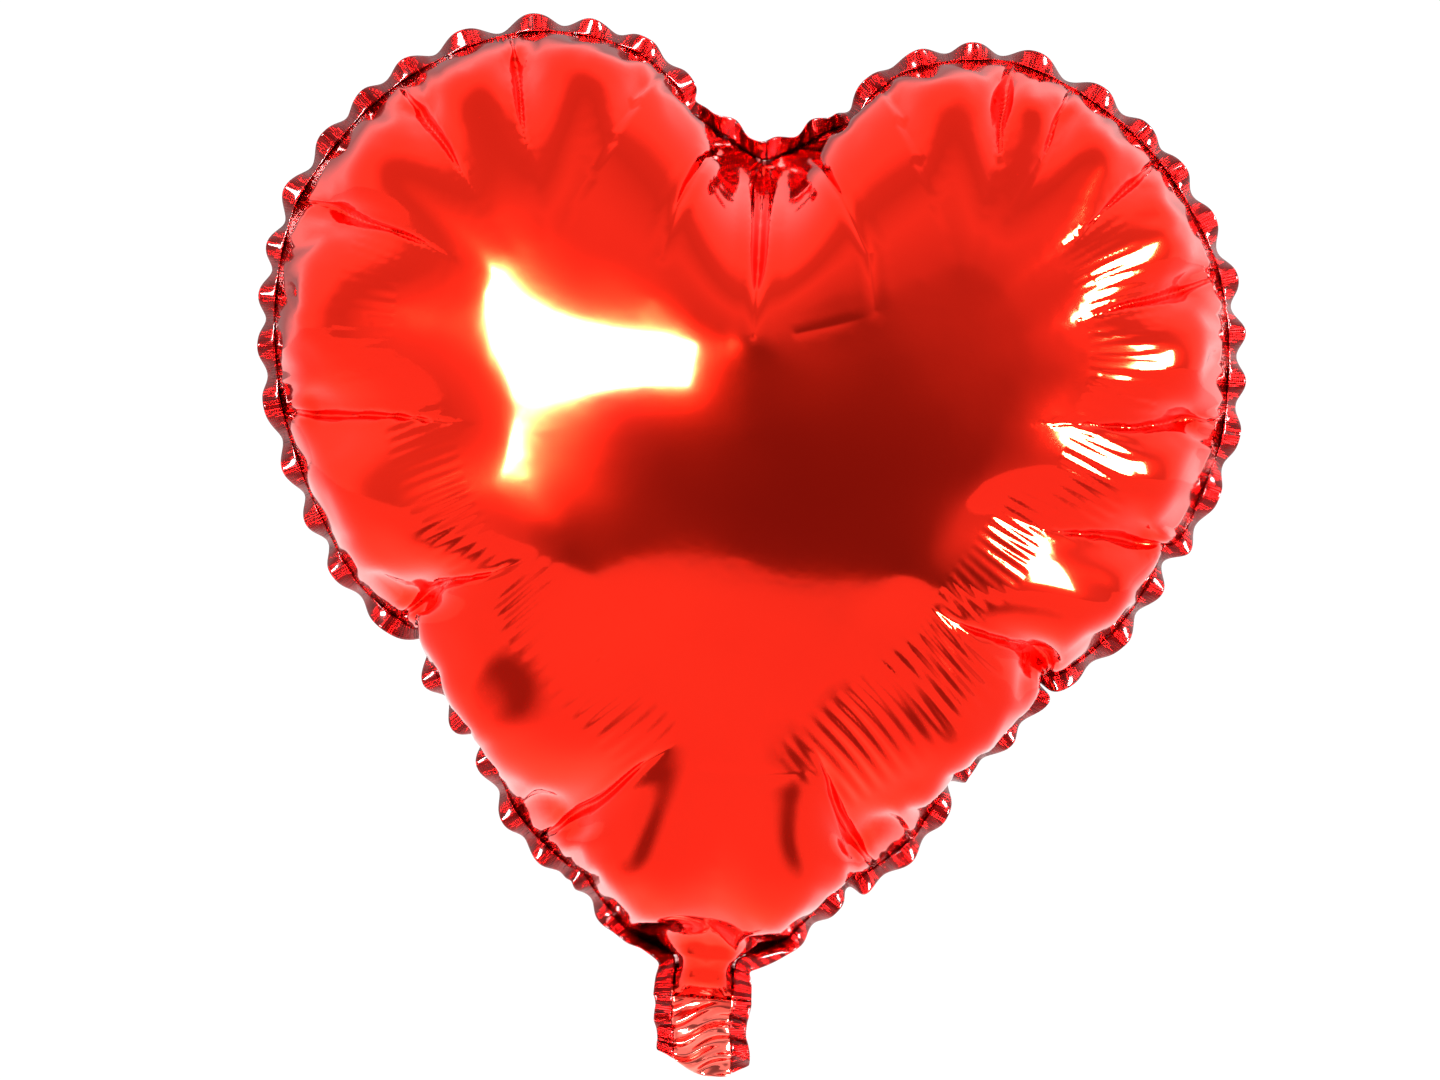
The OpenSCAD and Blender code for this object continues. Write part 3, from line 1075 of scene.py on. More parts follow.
@dataclass
class Inflation:
    """Blows the two films up: a first guess of the full shape, then cloth under pressure."""

    lattice: FoilLattice
    depth: float = 80 * MM
    narrowed: float = 0.955
    shortened: float = 0.98
    slack: float = 0.13
    slack_reach: float = 36 * MM
    lump: float = 8 * MM
    scallop: float = 4.2 * MM
    scallop_pitch: float = 20 * MM
    scallop_offset: float = 1.9
    scallop_sways: tuple[Sway, Sway] = (Sway(0.6, 37 * MM), Sway(0.5, 21 * MM, 1.0))
    noise: float = 0.05 * MM
    crest_z: float = 246 * MM
    crest_depth: float = 79 * MM
    crest_width: float = 30 * MM
    crest_fade: float = 20 * MM
    lump_start: float = 12 * MM
    lump_reach: float = 38 * MM
    cleft_calm: tuple[float, float] = (20 * MM, 75 * MM)
    neck_calm: tuple[float, float] = (40 * MM, 15 * MM)
    neck_taper: float = 50 * MM
    membrane_rounds: int = 700
    membrane_error: float = 1e-9
    axis_slack: float = 1e-5
    neck_grip: float = 0.5 * MM
    line_lead: float = 4 * MM
    line_grip: float = 20 * MM
    cleft_grip: float = 0.9
    cleft_reach: tuple[float, float] = (30 * MM, 50 * MM)
    frames: int = 30
    pressure: float = 60.0
    stiffness: float = 300.0
    seed: int = 4

    def first_depth(self) -> Points:
        """Guess how far each point of a film bulges, from a soap-film membrane on the seam.

        Returns:
            The bulge of each film point, in metres.
        """
        flat, m = self.lattice.flat, self.lattice.seam_count
        pairs = np.array([(t[i], t[(i + 1) % 3]) for t in self.lattice.triangles for i in range(3)])
        pairs = np.unique(np.sort(pairs, axis=1), axis=0)
        count = len(flat)
        free = np.arange(count) >= m
        degree = np.bincount(pairs.ravel(), minlength=count)

        def spread(u: Points) -> Points:
            """Work out each free point's pull towards its neighbours.

            Args:
                u: A value at each film point.

            Returns:
                The pull at each point, 0 on the seam.
            """
            out = degree * u
            out -= np.bincount(pairs[:, 0], u[pairs[:, 1]], count)
            out -= np.bincount(pairs[:, 1], u[pairs[:, 0]], count)
            out[~free] = 0
            return out

        height, rest = np.zeros(count), np.where(free, 1.0, 0.0)
        step, size = rest.copy(), float(rest @ rest)
        for _ in range(self.membrane_rounds):
            pull = spread(step)
            move = size / float(step @ pull)
            height += move * step
            rest -= move * pull
            fresh = float(rest @ rest)
            step = rest + fresh / size * step
            size = fresh
            if size < self.membrane_error:
                break
        bulge = self.depth * np.sqrt(np.clip(height / height.max(), 0, 1))
        top = self.lattice.seam[0][1]
        x, z = flat[:, 0], flat[:, 1]
        line = self.crest_depth * np.sin(np.clip((top - z) / (top - self.crest_z), 0, 1) * math.pi / 2)
        above = smoothstep(z, self.crest_z - self.crest_fade, self.crest_z + self.crest_fade)
        near_axis = (1 - smoothstep(np.abs(x), 0, self.crest_width)) * above
        bulge = bulge * (1 - near_axis) + line * near_axis
        bulge[:m] = 0
        return bulge

    def lumps(self) -> Points:
        """Shape the puffed lumps that the film starts with, between its rim creases.

        Returns:
            The lumps' height at each film point, in metres.
        """
        arc, gap = self.lattice.measure(self.lattice.flat)
        rim = PuckeredRim()
        right = self.lattice.flat[:, 0] > 0
        share = rim.barrels(arc, gap, right, self.lattice.arc_length().max())
        reach = np.clip(gap / self.lump_start, 0, 1) * np.exp(-(gap / self.lump_reach) ** 2)
        return self.lump * share * reach

    def shrink_weight(self) -> Points:
        """Work out how little slack the film has at each point.

        Returns:
            0 at the puckered seam, 1 in the smooth middle.
        """
        arc, gap = self.lattice.measure(self.lattice.flat)
        open_seam = smoothstep(arc, *self.cleft_calm) * self.above_neck(arc)
        return 1 - np.exp(-(gap / self.slack_reach) ** 2) * open_seam

    def above_neck(self, arc: Points) -> Points:
        """Fade the puckers out down the seam, before the calm neck.

        Args:
            arc: Arc length of each point along the seam from the cleft.

        Returns:
            1 up the seam, 0 at the neck.
        """
        total = self.lattice.arc_length().max()
        start, end = self.neck_calm
        return 1 - smoothstep(arc, total - start, total - end)

    def start_shape(self) -> tuple[Points, Points]:
        """Lay out the first guess of both films and the rim.

        Returns:
            Every vertex, and each rim vertex's slack weight.
        """
        lattice, rng = self.lattice, np.random.default_rng(self.seed)
        flat, m = lattice.flat, lattice.seam_count
        bulge = self.first_depth() + self.lumps()
        films = []
        for side in Side:
            rough = rng.normal(0, self.noise, len(flat))
            depth = np.maximum(bulge, 0) + rough
            depth[:m] = 0
            films.append(np.c_[flat[:, 0], side.value * depth, flat[:, 1]])
        arc = np.array([lattice.arc_length()[i] for i in lattice.rim_seam_index()])
        turn = np.arange(len(arc)) < len(lattice.right)
        phase = arc / self.scallop_pitch * math.tau + np.where(turn, 0.0, self.scallop_offset)
        long, short = self.scallop_sways
        wave = np.sin(phase + long.at(arc) + short.at(arc))
        calm = self.above_neck(arc)
        rows = []
        for k in range(1, lattice.rim_rows + 1):
            share = k / lattice.rim_rows
            path = lattice.rim_path(lattice.outline.seal_w * (1 - share))
            swing = self.scallop * share * wave * calm + rng.normal(0, self.noise, len(path))
            rows.append(np.c_[path[:, 0], swing, path[:, 1]])
        points = np.concatenate([films[0], films[1][m:]] + rows)
        grow = smoothstep(points[:, 2], 0, self.neck_taper) * (self.narrowed - 1) + 1
        points[:, 0] *= grow
        points[:, 1] *= grow
        points[:, 2] = np.where(points[:, 2] > 0, points[:, 2] * self.shortened, points[:, 2])
        return points, np.tile(1 - smoothstep(arc, *self.cleft_calm) * calm, lattice.rim_rows)

    def faces(self) -> tuple[list[Face], list[Face], list[Face]]:
        """List every face.

        Returns:
            The faces of the front film, of the back film and of the rim.
        """
        lattice = self.lattice
        front = list(lattice.triangles)
        back = [tuple(lattice.back_index(i) for i in t[::-1]) for t in front]
        films = 2 * lattice.film_count - lattice.seam_count
        inner = lattice.rim_seam_index()
        n, rim = len(inner), []

        def index(row: int, i: int) -> int:
            """Vertex number of a rim point; row 0 is the seam."""
            return inner[i % n] if row == 0 else films + (row - 1) * n + i % n

        for row in range(lattice.rim_rows):
            for i in range(n):
                if i == len(lattice.right) - 1:
                    continue
                rim.append((index(row, i), index(row, i + 1), index(row + 1, i + 1), index(row + 1, i)))
        return front, back, rim

    def blow_up(self) -> Points:
        """Run the cloth.

        Returns:
            Every vertex of the inflated heart.
        """
        points, rim_weight = self.start_shape()
        front, back, rim = self.faces()
        balloon = make_mesh("inflating_films", points, front + back + rim)
        self._group(balloon, points, rim_weight)
        select_only(balloon)
        cloth = balloon.modifiers.new("Cloth", "CLOTH")
        self._set_cloth(cloth)
        for step in range(1, self.frames + 1):
            bpy.context.scene.frame_set(step)
        bpy.ops.object.modifier_apply(modifier=cloth.name)
        shape = np.empty(len(points) * 3)
        balloon.data.vertices.foreach_get("co", shape)
        bpy.data.objects.remove(balloon)
        bpy.context.scene.frame_set(1)
        return shape.reshape(-1, 3)

    def _group(self, balloon: bpy.types.Object, points: Points, rim_weight: Points) -> None:
        """Say where the gas pushes, where the film is taut and where it is held.

        Args:
            balloon: The object that the cloth runs on.
            points: Its vertices before the cloth.
            rim_weight: How little slack each rim vertex has.
        """
        lattice = self.lattice
        flat, m = lattice.flat, lattice.seam_count
        air = balloon.vertex_groups.new(name="air")
        air.add(list(range(2 * lattice.film_count - m)), 1.0, "REPLACE")
        taut = balloon.vertex_groups.new(name="taut")
        weight = self.shrink_weight()
        weight = np.r_[weight, weight[m:], rim_weight]
        for i, value in enumerate(weight):
            taut.add([i], float(value), "REPLACE")
        held = balloon.vertex_groups.new(name="held")
        low = lattice.outline.fold_z + self.neck_grip
        for i in np.nonzero(points[:, 2] < low)[0]:
            held.add([int(i)], 1.0, "REPLACE")
        start = self.crest_z - self.line_lead
        for i in np.nonzero((np.abs(flat[:, 0]) < self.axis_slack) & (flat[:, 1] > start))[0]:
            grip = float(np.clip((flat[i, 1] - self.crest_z + self.line_lead) / self.line_grip, 0, 1))
            held.add([int(i), lattice.back_index(int(i))], grip, "REPLACE")
        arc = lattice.arc_length()
        for i in np.nonzero(arc < self.cleft_reach[1])[0]:
            grip = float(self.cleft_grip * (1 - smoothstep(arc[i], *self.cleft_reach)))
            held.add([int(i)], grip, "REPLACE")

    def _set_cloth(self, cloth: bpy.types.ClothModifier) -> None:
        """Set the cloth to a stiff, thin, weightless film under pressure.

        Args:
            cloth: The modifier.
        """
        settings = cloth.settings
        settings.quality = 5
        settings.mass = 0.1
        settings.bending_model = "ANGULAR"
        settings.tension_stiffness = self.stiffness
        settings.compression_stiffness = self.stiffness
        settings.shear_stiffness = self.stiffness
        settings.bending_stiffness = 2.0
        settings.tension_damping = 5
        settings.compression_damping = 5
        settings.shear_damping = 5
        settings.bending_damping = 0.5
        settings.air_damping = 3.0
        settings.effector_weights.gravity = 0
        settings.use_pressure = True
        settings.uniform_pressure_force = self.pressure
        settings.vertex_group_pressure = "air"
        settings.vertex_group_mass = "held"
        settings.pin_stiffness = 30.0
        settings.shrink_min = -self.slack
        settings.shrink_max = 0.0
        settings.vertex_group_shrink = "taut"
        cloth.collision_settings.use_collision = False
        cloth.point_cache.frame_start = 1
        cloth.point_cache.frame_end = self.frames + 2


# ---------------------------------------------------------------- the balloon


@dataclass
class Tail:
    """The flat filling tail under the neck: two films between side seals, crumpled by handling."""

    half_w: float = 19 * MM
    channel: float = 12 * MM
    top: float = -7 * MM
    length: float = 30 * MM
    mouth: float = 1.6 * MM
    mouth_pace: float = 1.6
    rows: int = 22
    wrinkle: float = 1.5 * MM
    wrinkles: float = 3.1
    wrinkle_lean: Sway = Sway(0.16, 8 * MM, 0.6)
    wrinkle_shift: float = 0.5 * MM
    fine_share: float = 0.35
    fine_rate: float = 2.3
    fine_pitch: float = 5 * MM
    ease_in: float = 0.18
    curl: Sway = Sway(3.0 * MM, 14 * MM, 0.5)
    drift: float = 2.5 * MM
    lift_left: float = 9 * MM
    lift_right: float = 4 * MM
    lift_from: tuple[float, float] = (2 * MM, 8 * MM)
    gathered: float = 0.06
    gather_swing: float = 0.03
    shortened: float = 0.985
    film_gap: float = 0.25 * MM

    def place(self, x: Points, down: Points, side: float) -> Points:
        """Put points of the flat tail into their crumpled place.

        Args:
            x: How far each point is across the flat tail.
            down: How far each point is below the fold.
            side: -1 for the front film, 1 for the back film, 0 for the side seals.

        Returns:
            One row of X, Y, Z for each point.
        """
        t = down / self.length
        arch = np.sqrt(np.clip(1 - (x / self.channel) ** 2, 0, 1))
        bow = self.mouth * np.sin(np.clip(t * self.mouth_pace, 0, 1) * math.pi / 2) * arch
        turns = (t + self.wrinkle_lean.at(x)) * math.tau * self.wrinkles
        ease = smoothstep(t, 0, self.ease_in)
        fine = self.fine_share * np.sin(self.fine_rate * turns + x / self.fine_pitch)
        fold = self.wrinkle * ease * (np.sin(turns) + fine)
        lift_left = self.lift_left * smoothstep(-x, self.lift_from[0], self.half_w)
        lift_right = self.lift_right * smoothstep(x, self.lift_from[1], self.half_w)
        gather = 1 - self.gathered * ease + self.gather_swing * np.sin(turns / 2)
        y = side * (bow + self.film_gap * ease) + fold + self.curl.at(x) * t ** 2
        z = self.top - down * self.shortened + (lift_left + lift_right) * t ** 2
        z += self.wrinkle_shift * ease * np.cos(turns)
        return np.c_[x * gather + self.drift * t ** 2, y, z]


@dataclass
class HeartBalloon:
    """The inflated heart, its fused rim and its tail, as three pieces of foil."""

    lattice: FoilLattice = field(default_factory=FoilLattice)
    rim: PuckeredRim = field(default_factory=PuckeredRim)
    tail: Tail = field(default_factory=Tail)
    crimp_pitch: float = 20 * MM
    crimp_offset: float = 2.1
    crimp_sways: tuple[Sway, Sway] = (Sway(0.9, 37 * MM), Sway(0.6, 13 * MM))
    crimp_lean: float = math.radians(30)
    crimp_swing: float = math.radians(42)
    crimp_drift: Sway = Sway(math.radians(9), 17 * MM, 1.0)
    cleft_calm: tuple[float, float] = (22 * MM, 48 * MM)
    neck_calm: tuple[float, float] = (50 * MM, 26 * MM)
    valve_room: float = 1.25 * MM
    valve_half: float = 12 * MM
    valve_squareness: float = 8
    valve_start: float = 1.3 * MM
    valve_top: tuple[float, float] = (12 * MM, 20 * MM)
    film: float = 0.12 * MM
    seal: float = 0.35 * MM
    sheen_rounds: int = 12
    sheen_pull: float = 0.6
    sheen_from: tuple[float, float] = (8 * MM, 34 * MM)
    barrel_start: float = 10 * MM
    crest_start: float = 40 * MM
    fold_start: float = 4 * MM
    neck_margin: float = 4 * MM
    # How far round a crease each refinement reaches, and how high a ripple has to be to get it.
    refinements: tuple[tuple[float, float], ...] = ((5.5 * MM, 0.07 * MM), (2.4 * MM, math.inf))
    seam_margin: float = 1.6 * MM
    plain_neck: float = 12 * MM
    blend_half: float = 1.5 * MM
    flat_size: tuple[float, float] = (0.457, 0.475)
    flat_area: float = 0.148

    def shape(self) -> Points:
        """Inflate the heart and keep the neck's films clear of the valve between them.

        Returns:
            Every vertex of the inflated heart.
        """
        inflation = Inflation(self.lattice)
        points = inflation.blow_up()
        low, m, count = self.lattice.outline.fold_z, self.lattice.seam_count, self.lattice.film_count
        x, z = points[:, 0], points[:, 2]
        clear = self.valve_room * (1 - np.clip(np.abs(x) / self.valve_half, 0, 1) ** self.valve_squareness)
        clear *= smoothstep(z, low, low + self.valve_start) * (1 - smoothstep(z, *self.valve_top))
        front, back = np.arange(m, count), np.arange(count, 2 * count - m)
        points[front, 1] = np.minimum(points[front, 1], -clear[front])
        points[back, 1] = np.maximum(points[back, 1], clear[back])
        self._crimp(points)
        return points

    def _crimp(self, points: Points) -> None:
        """Turn the fused rim about the seam, now in plane and now folded back, in half-moons.

        Args:
            points: Every vertex of the inflated heart; the rim's are moved in place.
        """
        lattice = self.lattice
        inner = lattice.rim_seam_index()
        seam, arc = points[inner], lattice.arc_length()[inner]
        ahead = np.roll(seam, -2, axis=0) - np.roll(seam, 2, axis=0)
        outward = np.c_[-ahead[:, 2], np.zeros(len(seam)), ahead[:, 0]]
        outward /= np.linalg.norm(outward, axis=1, keepdims=True)
        left = np.arange(len(seam)) >= len(lattice.right)
        long, short = self.crimp_sways
        phase = math.tau * arc / self.crimp_pitch + long.at(arc) + np.where(left, self.crimp_offset, 0.0)
        turn = self.crimp_lean + self.crimp_swing * np.sin(phase + short.at(arc)) + self.crimp_drift.at(arc)
        reach = np.cos(turn)[:, None] * outward + np.sin(turn)[:, None] * np.array((0.0, 1.0, 0.0))
        start, end = arc.max() - np.array(self.neck_calm)
        share = smoothstep(arc, *self.cleft_calm) * (1 - smoothstep(arc, start, end))
        first = 2 * lattice.film_count - lattice.seam_count
        for row in range(1, lattice.rim_rows + 1):
            ring = slice(first + (row - 1) * len(inner), first + row * len(inner))
            folded = seam + reach * lattice.outline.seal_w * row / lattice.rim_rows
            points[ring] += share[:, None] * (folded - points[ring])

    def _film(self, side: Side, points: Points, faces: list[Face]) -> FilmMesh:
        """Join one film of the heart to its side of the tail.

        Args:
            side: Which film it is.
            points: Every vertex of the inflated heart.
            faces: The film's faces.

        Returns:
            The film as one sheet from its lobes to the end of the tail.
        """
        lattice = self.lattice
        index = np.arange(lattice.film_count)
        if side is Side.BACK:
            index = np.array([lattice.back_index(i) for i in index])
        where = {int(v): i for i, v in enumerate(index)}
        triangles = [tuple(where[v] for v in f) for f in faces]
        n = len(lattice.right)
        seam_row = list(range(n - 1, n + lattice.neck_columns))
        across = lattice.seam[seam_row, 0]
        parts, rows = [np.c_[points[index], lattice.flat]], [seam_row]
        start = lattice.film_count
        for r in range(1, self.tail.rows + 1):
            down = np.full(len(across), self.tail.length * r / self.tail.rows)
            place = self.tail.place(across, down, side.value)
            parts.append(np.c_[place, across, lattice.outline.fold_z - down])
            rows.append(list(range(start, start + len(across))))
            start += len(across)
        for upper, lower in zip(rows, rows[1:]):
            for i in range(len(across) - 1):
                a, b, c, d = upper[i], upper[i + 1], lower[i + 1], lower[i]
                pair = ((a, b, c), (a, c, d)) if side is Side.BACK else ((c, b, a), (d, c, a))
                triangles += pair
        return FilmMesh(np.concatenate(parts), np.array(triangles))

    def _film_piece(self, name: str, side: Side, points: Points, faces: list[Face]) -> bpy.types.Object:
        """Finish one film: smooth its taut middle, refine it, and shape what the rim does to it.

        Args:
            name: The piece's name.
            side: Which film it is.
            points: Every vertex of the inflated heart.
            faces: The film's faces.

        Returns:
            The film as a piece.
        """
        film = self._film(side, points, faces)
        flat = film.data[:, 3:]
        heart = flat[:, 1] > self.lattice.outline.fold_z + self.neck_margin
        _, gap = self.lattice.measure(flat)
        film = film.relaxed(self.sheen_pull * smoothstep(gap, *self.sheen_from) * heart, self.sheen_rounds)
        film = film.subdivided(np.ones(len(film.faces), dtype=bool))
        mirror = side is Side.BACK
        flip = -1 if mirror else 1
        for reach, rippling in self.refinements:
            arc, gap = self.lattice.measure(film.data[:, 3:])
            right = (film.data[:, 3] > 0) != mirror
            fine = self.rim.near_crease(arc, gap, right, reach)
            fine |= self.rim.near_fold(film.data[:, [0, 2]] * (flip, 1), reach)
            fine |= self.rim.band_strength(arc, gap, right) > rippling
            film = film.subdivided(np.all((fine & (gap > self.seam_margin))[film.faces], axis=1))
        film.data[:, :3] += self._relief(film, mirror)[:, None] * film.normals()
        return make_mesh(name, film.data[:, :3], film.faces.tolist())

    def _relief(self, film: FilmMesh, mirror: bool) -> Points:
        """Add up the barrels, creases, ripples, crest and folds.

        Args:
            film: The film that takes them.
            mirror: Whether its left and right are swapped, as on the back.

        Returns:
            How far each vertex moves outwards, in metres.
        """
        arc, gap = self.lattice.measure(film.data[:, 3:])
        right = (film.data[:, 3] > 0) != mirror
        relief = self.rim.barrel * self.rim.barrels(arc, gap, right, self.lattice.arc_length().max())
        relief *= np.clip(gap / self.barrel_start, 0, 1) * np.exp(-(gap / self.rim.barrel_reach) ** 2)
        relief += self.rim.creases(arc, gap, right) + self.rim.ripples(arc, gap, right)
        place = film.data[:, [0, 2]] * (-1 if mirror else 1, 1)
        relief += self.rim.crest_point(place) * smoothstep(gap, 0, self.crest_start)
        relief += self.rim.folded(place) * smoothstep(gap, 0, self.fold_start)
        relief[film.data[:, 4] < self.plain_neck] = 0
        return relief

    def _rim_piece(self, name: str, points: Points, faces: list[Face]) -> bpy.types.Object:
        """Join the heart's fused rim to the tail's side seals.

        Args:
            name: The piece's name.
            points: Every vertex of the inflated heart.
            faces: The rim's faces.

        Returns:
            The sealed edge as one strip, open at the tail's mouth.
        """
        lattice = self.lattice
        used = np.unique(np.array(faces).ravel())
        where = {int(v): i for i, v in enumerate(used)}
        shape = points[used]
        inner = lattice.rim_seam_index()
        arc = lattice.arc_length()[inner]
        films = 2 * lattice.film_count - lattice.seam_count
        n = len(inner)
        uv = np.zeros((len(used), 2))
        for row in range(lattice.rim_rows + 1):
            for i in range(n):
                vertex = inner[i] if row == 0 else films + (row - 1) * n + i
                uv[where[vertex]] = (arc[i], lattice.outline.seal_w * row / lattice.rim_rows)
        new_faces = [tuple(where[v] for v in f) for f in faces]
        parts, uvs, start = [shape], [uv], len(shape)
        ends = (len(lattice.right) - 1, len(lattice.right))
        for end in ends:
            column = [where[inner[end]]] + [where[films + row * n + end] for row in range(lattice.rim_rows)]
            xs = shape[column, 0]
            rows = [column]
            for r in range(1, self.tail.rows + 1):
                down = np.full(len(xs), self.tail.length * r / self.tail.rows)
                parts.append(self.tail.place(xs, down, 0.0))
                uvs.append(np.c_[arc.max() + down, uv[column, 1]])
                rows.append(list(range(start, start + len(xs))))
                start += len(xs)
            for upper, lower in zip(rows, rows[1:]):
                for i in range(len(xs) - 1):
                    quad = (upper[i], upper[i + 1], lower[i + 1], lower[i])
                    new_faces.append(quad if end == ends[0] else quad[::-1])
        return make_mesh(name, np.concatenate(parts), new_faces, np.concatenate(uvs))

    def build(self) -> list[bpy.types.Object]:
        """Build the two films and the sealed edge.

        Returns:
            The front film, the back film and the sealed edge.
        """
        points = self.shape()
        front_faces, back_faces, rim_faces = Inflation(self.lattice).faces()
        front = self._film_piece("front_foil", Side.FRONT, points, front_faces)
        back = self._film_piece("back_foil", Side.BACK, points, back_faces)
        edge = self._rim_piece("sealed_edge", points, rim_faces)
        apply_modifier(edge, "SUBSURF", levels=2, render_levels=2)
        for piece in (front, back):
            apply_modifier(piece, "SOLIDIFY", thickness=self.film, offset=-1.0, material_offset=1,
                           material_offset_rim=1)
        apply_modifier(edge, "SOLIDIFY", thickness=self.seal, offset=0.0)
        return [front, back, edge]

    def dress(self, pieces: list[bpy.types.Object]) -> None:
        """Give the foil its finishes and hide the frame's bodies that it stands in for.

        Args:
            pieces: The front film, the back film and the sealed edge.
        """
        front, back, edge = pieces
        foil, inside, seal = MetallisedFoil().make(), BareMetallising().make(), PaintedShadeSeal().make()
        for piece in (front, back):
            piece.data.materials.append(foil)
            piece.data.materials.append(inside)
        edge.data.materials.append(seal)
        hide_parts("front_panel", "neck_front_film", "tail_front_film")
        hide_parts("back_panel", "neck_back_film", "tail_back_film")
        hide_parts("rim_seal", "tail_side_seals")
        for piece in pieces:
            select_only(piece)
            bpy.ops.object.shade_smooth()
        for piece in pieces:
            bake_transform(piece)


@dataclass
class FillingValve:
    """The flap valve in the neck: two clear films, their welds and the release stripe."""

    films: tuple[str, ...] = (
        "valve_front_film", "valve_back_film", "valve_side_welds", "valve_inlet_welds")
    stripe: str = "valve_release_stripe"

    def dress(self) -> None:
        """Give the valve's CAD nodes their finishes."""
        film, coating = BlownFilm().make(), ReleaseCoating().make()
        for node in self.films:
            self._finish(node, film)
        self._finish(self.stripe, coating)

    def _finish(self, node: str, material: bpy.types.Material) -> None:
        """Put one finish on all of a CAD node.

        Args:
            node: The node's name.
            material: The finish.
        """
        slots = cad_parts[node].material_slots
        for slot in slots:
            slot.material = material


# ---------------------------------------------------------------- studio


@dataclass(frozen=True)
class Softbox:
    """One rectangular light: its name, place, width and height, and power in watts."""

    name: str
    place: tuple[float, float, float]
    size: tuple[float, float]
    power: float


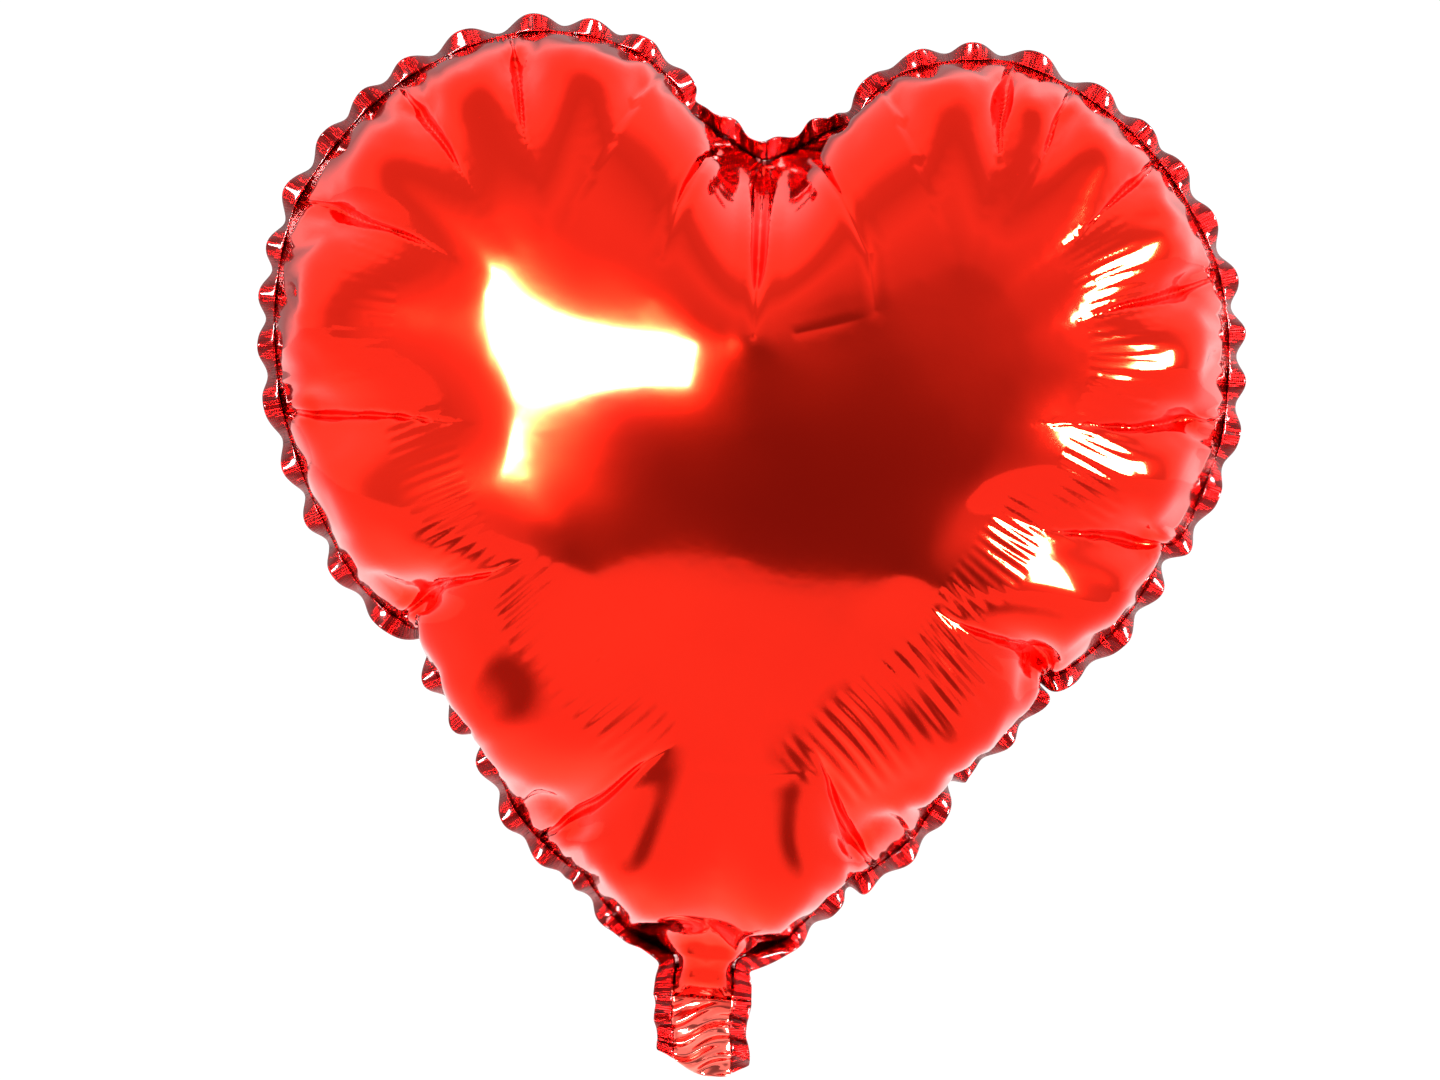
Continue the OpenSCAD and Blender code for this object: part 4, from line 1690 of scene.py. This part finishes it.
@dataclass
class Studio:
    """A pale floor far below the balloon, two softboxes, two felt flags, a white room and the camera."""

    look_at: Vector = field(default_factory=lambda: Vector((-0.0063, 0, 0.1698)))
    distance: float = 1.6
    view_width: float = 0.556
    film_width: float = 36
    roll: float = math.radians(4.25)
    floor_z: float = -0.9
    floor_reach: float = 4.7
    floor_size: float = 30
    softboxes: tuple[Softbox, ...] = (
        Softbox("key_softbox", (-0.70, -1.78, 0.56), (0.78, 0.30), 31),
        Softbox("strip_softbox", (1.38, -0.84, 0.58), (0.46, 0.62), 33),
    )
    beam: float = math.radians(70)
    flags: tuple[tuple[float, float, float], ...] = ((0.90, -1.16, -0.86), (-0.98, -1.10, -0.86))
    flag_size: tuple[float, float] = (0.62, 0.80)
    dim_end: Vector = field(default_factory=lambda: Vector((0.16, -1.0, -0.10)))
    # The room's tones from its dim end, in front of the heart, round to the wall behind it.
    room_tones: tuple[tuple[float, str], ...] = (
        (0.0, "#6e6666"), (0.03, "#7a7171"), (0.085, "#bdb6b6"), (0.17, "#d8d3d3"), (0.27, "#bfb7b7"),
        (0.37, "#c6bebe"), (0.48, "#ffffff"), (0.86, "#ffffff"), (0.95, "#978f8f"), (1.0, "#857d7d"))
    backdrop: str = "#dedddd"
    room_light: float = 1.45

    def build(self) -> None:
        """Build the whole studio."""
        self._world()
        self._floor()
        for softbox in self.softboxes:
            self._hang(softbox)
        for place in self.flags:
            self._flag(place)
        self._camera()
        bpy.context.scene.view_settings.view_transform = "Standard"

    def _world(self) -> None:
        """Surround the balloon with a white room whose far end, in front of the heart, is dim."""
        world = bpy.data.worlds.new("white_room")
        bpy.context.scene.world = world
        world.use_nodes = True
        way = add_node(world, "ShaderNodeTexCoord")
        ahead = add_node(world, "ShaderNodeVectorMath", {1: self.dim_end.normalized()},
                         {0: way.outputs["Generated"]}, operation="DOT_PRODUCT")
        share = add_node(world, "ShaderNodeMapRange", {"From Min": 1.0, "From Max": -1.0},
                         {"Value": ahead.outputs["Value"]})
        tones = add_node(world, "ShaderNodeValToRGB", links={"Fac": share.outputs["Result"]})
        stops = tones.color_ramp.elements
        while len(stops) < len(self.room_tones):
            stops.new(0.5)
        for stop, (place, tint) in zip(stops, self.room_tones):
            stop.position = place
            stop.color = linear(tint)
        seen = add_node(world, "ShaderNodeLightPath")
        room = add_node(world, "ShaderNodeMix", {7: linear(self.backdrop)},
                        {0: seen.outputs["Is Camera Ray"], 6: tones.outputs["Color"]}, data_type="RGBA")
        background = world.node_tree.nodes["Background"]
        world.node_tree.links.new(room.outputs[2], background.inputs["Color"])
        background.inputs["Strength"].default_value = self.room_light

    def _floor(self) -> None:
        """Lay the pale floor."""
        bpy.ops.object.select_all(action="DESELECT")
        middle = self.floor_size / 2 - self.floor_reach
        bpy.ops.mesh.primitive_plane_add(size=self.floor_size, location=(0, middle, self.floor_z))
        floor = bpy.context.object
        floor.name = "pale_floor"
        floor.data.materials.append(StudioSurface("pale_paper", "#f8f7f6").make())

    def _hang(self, softbox: Softbox) -> None:
        """Hang one softbox, turned to the balloon's middle.

        Args:
            softbox: The light to hang.
        """
        light = bpy.data.lights.new(softbox.name, "AREA")
        light.shape = "RECTANGLE"
        light.size, light.size_y = softbox.size
        light.energy = softbox.power
        light.spread = self.beam
        lamp = bpy.data.objects.new(softbox.name, light)
        bpy.context.scene.collection.objects.link(lamp)
        lamp.location = softbox.place
        lamp.rotation_euler = (self.look_at - Vector(softbox.place)).to_track_quat("-Z", "Y").to_euler()

    def _flag(self, place: tuple[float, float, float]) -> None:
        """Lay a felt flag below the balloon, so that its lower ripples have a tone to mirror.

        Args:
            place: The flag's middle.
        """
        bpy.ops.object.select_all(action="DESELECT")
        bpy.ops.mesh.primitive_plane_add(size=2, location=place)
        flag = bpy.context.object
        flag.name = "dark_flag"
        flag.scale = (*self.flag_size, 1)
        flag.data.materials.append(StudioSurface("grey_felt", "#948686", faded=True).make())
        flag.visible_camera = False
        flag.visible_diffuse = False
        flag.visible_shadow = False

    def _camera(self) -> None:
        """Set the camera square to the front of the heart, rolled so that the heart leans right."""
        camera = bpy.data.cameras.new("camera")
        camera.sensor_width = self.film_width
        camera.lens = self.film_width * self.distance / self.view_width
        stand = bpy.data.objects.new("camera", camera)
        bpy.context.scene.collection.objects.link(stand)
        stand.location = self.look_at + Vector((0, -self.distance, 0))
        stand.rotation_mode = "XYZ"
        stand.rotation_euler = (math.radians(90), -self.roll, 0)
        bpy.context.scene.camera = stand


def main() -> None:
    logging.basicConfig(level=logging.INFO, format="%(name)s: %(message)s")
    Studio().build()
    balloon = HeartBalloon()
    pieces = balloon.build()
    balloon.dress(pieces)
    for piece in pieces:
        log.info("%s: %d faces", piece.name, len(piece.data.polygons))
    FillingValve().dress()
    log.info("valve dressed")


if __name__ == "__main__":
    main()
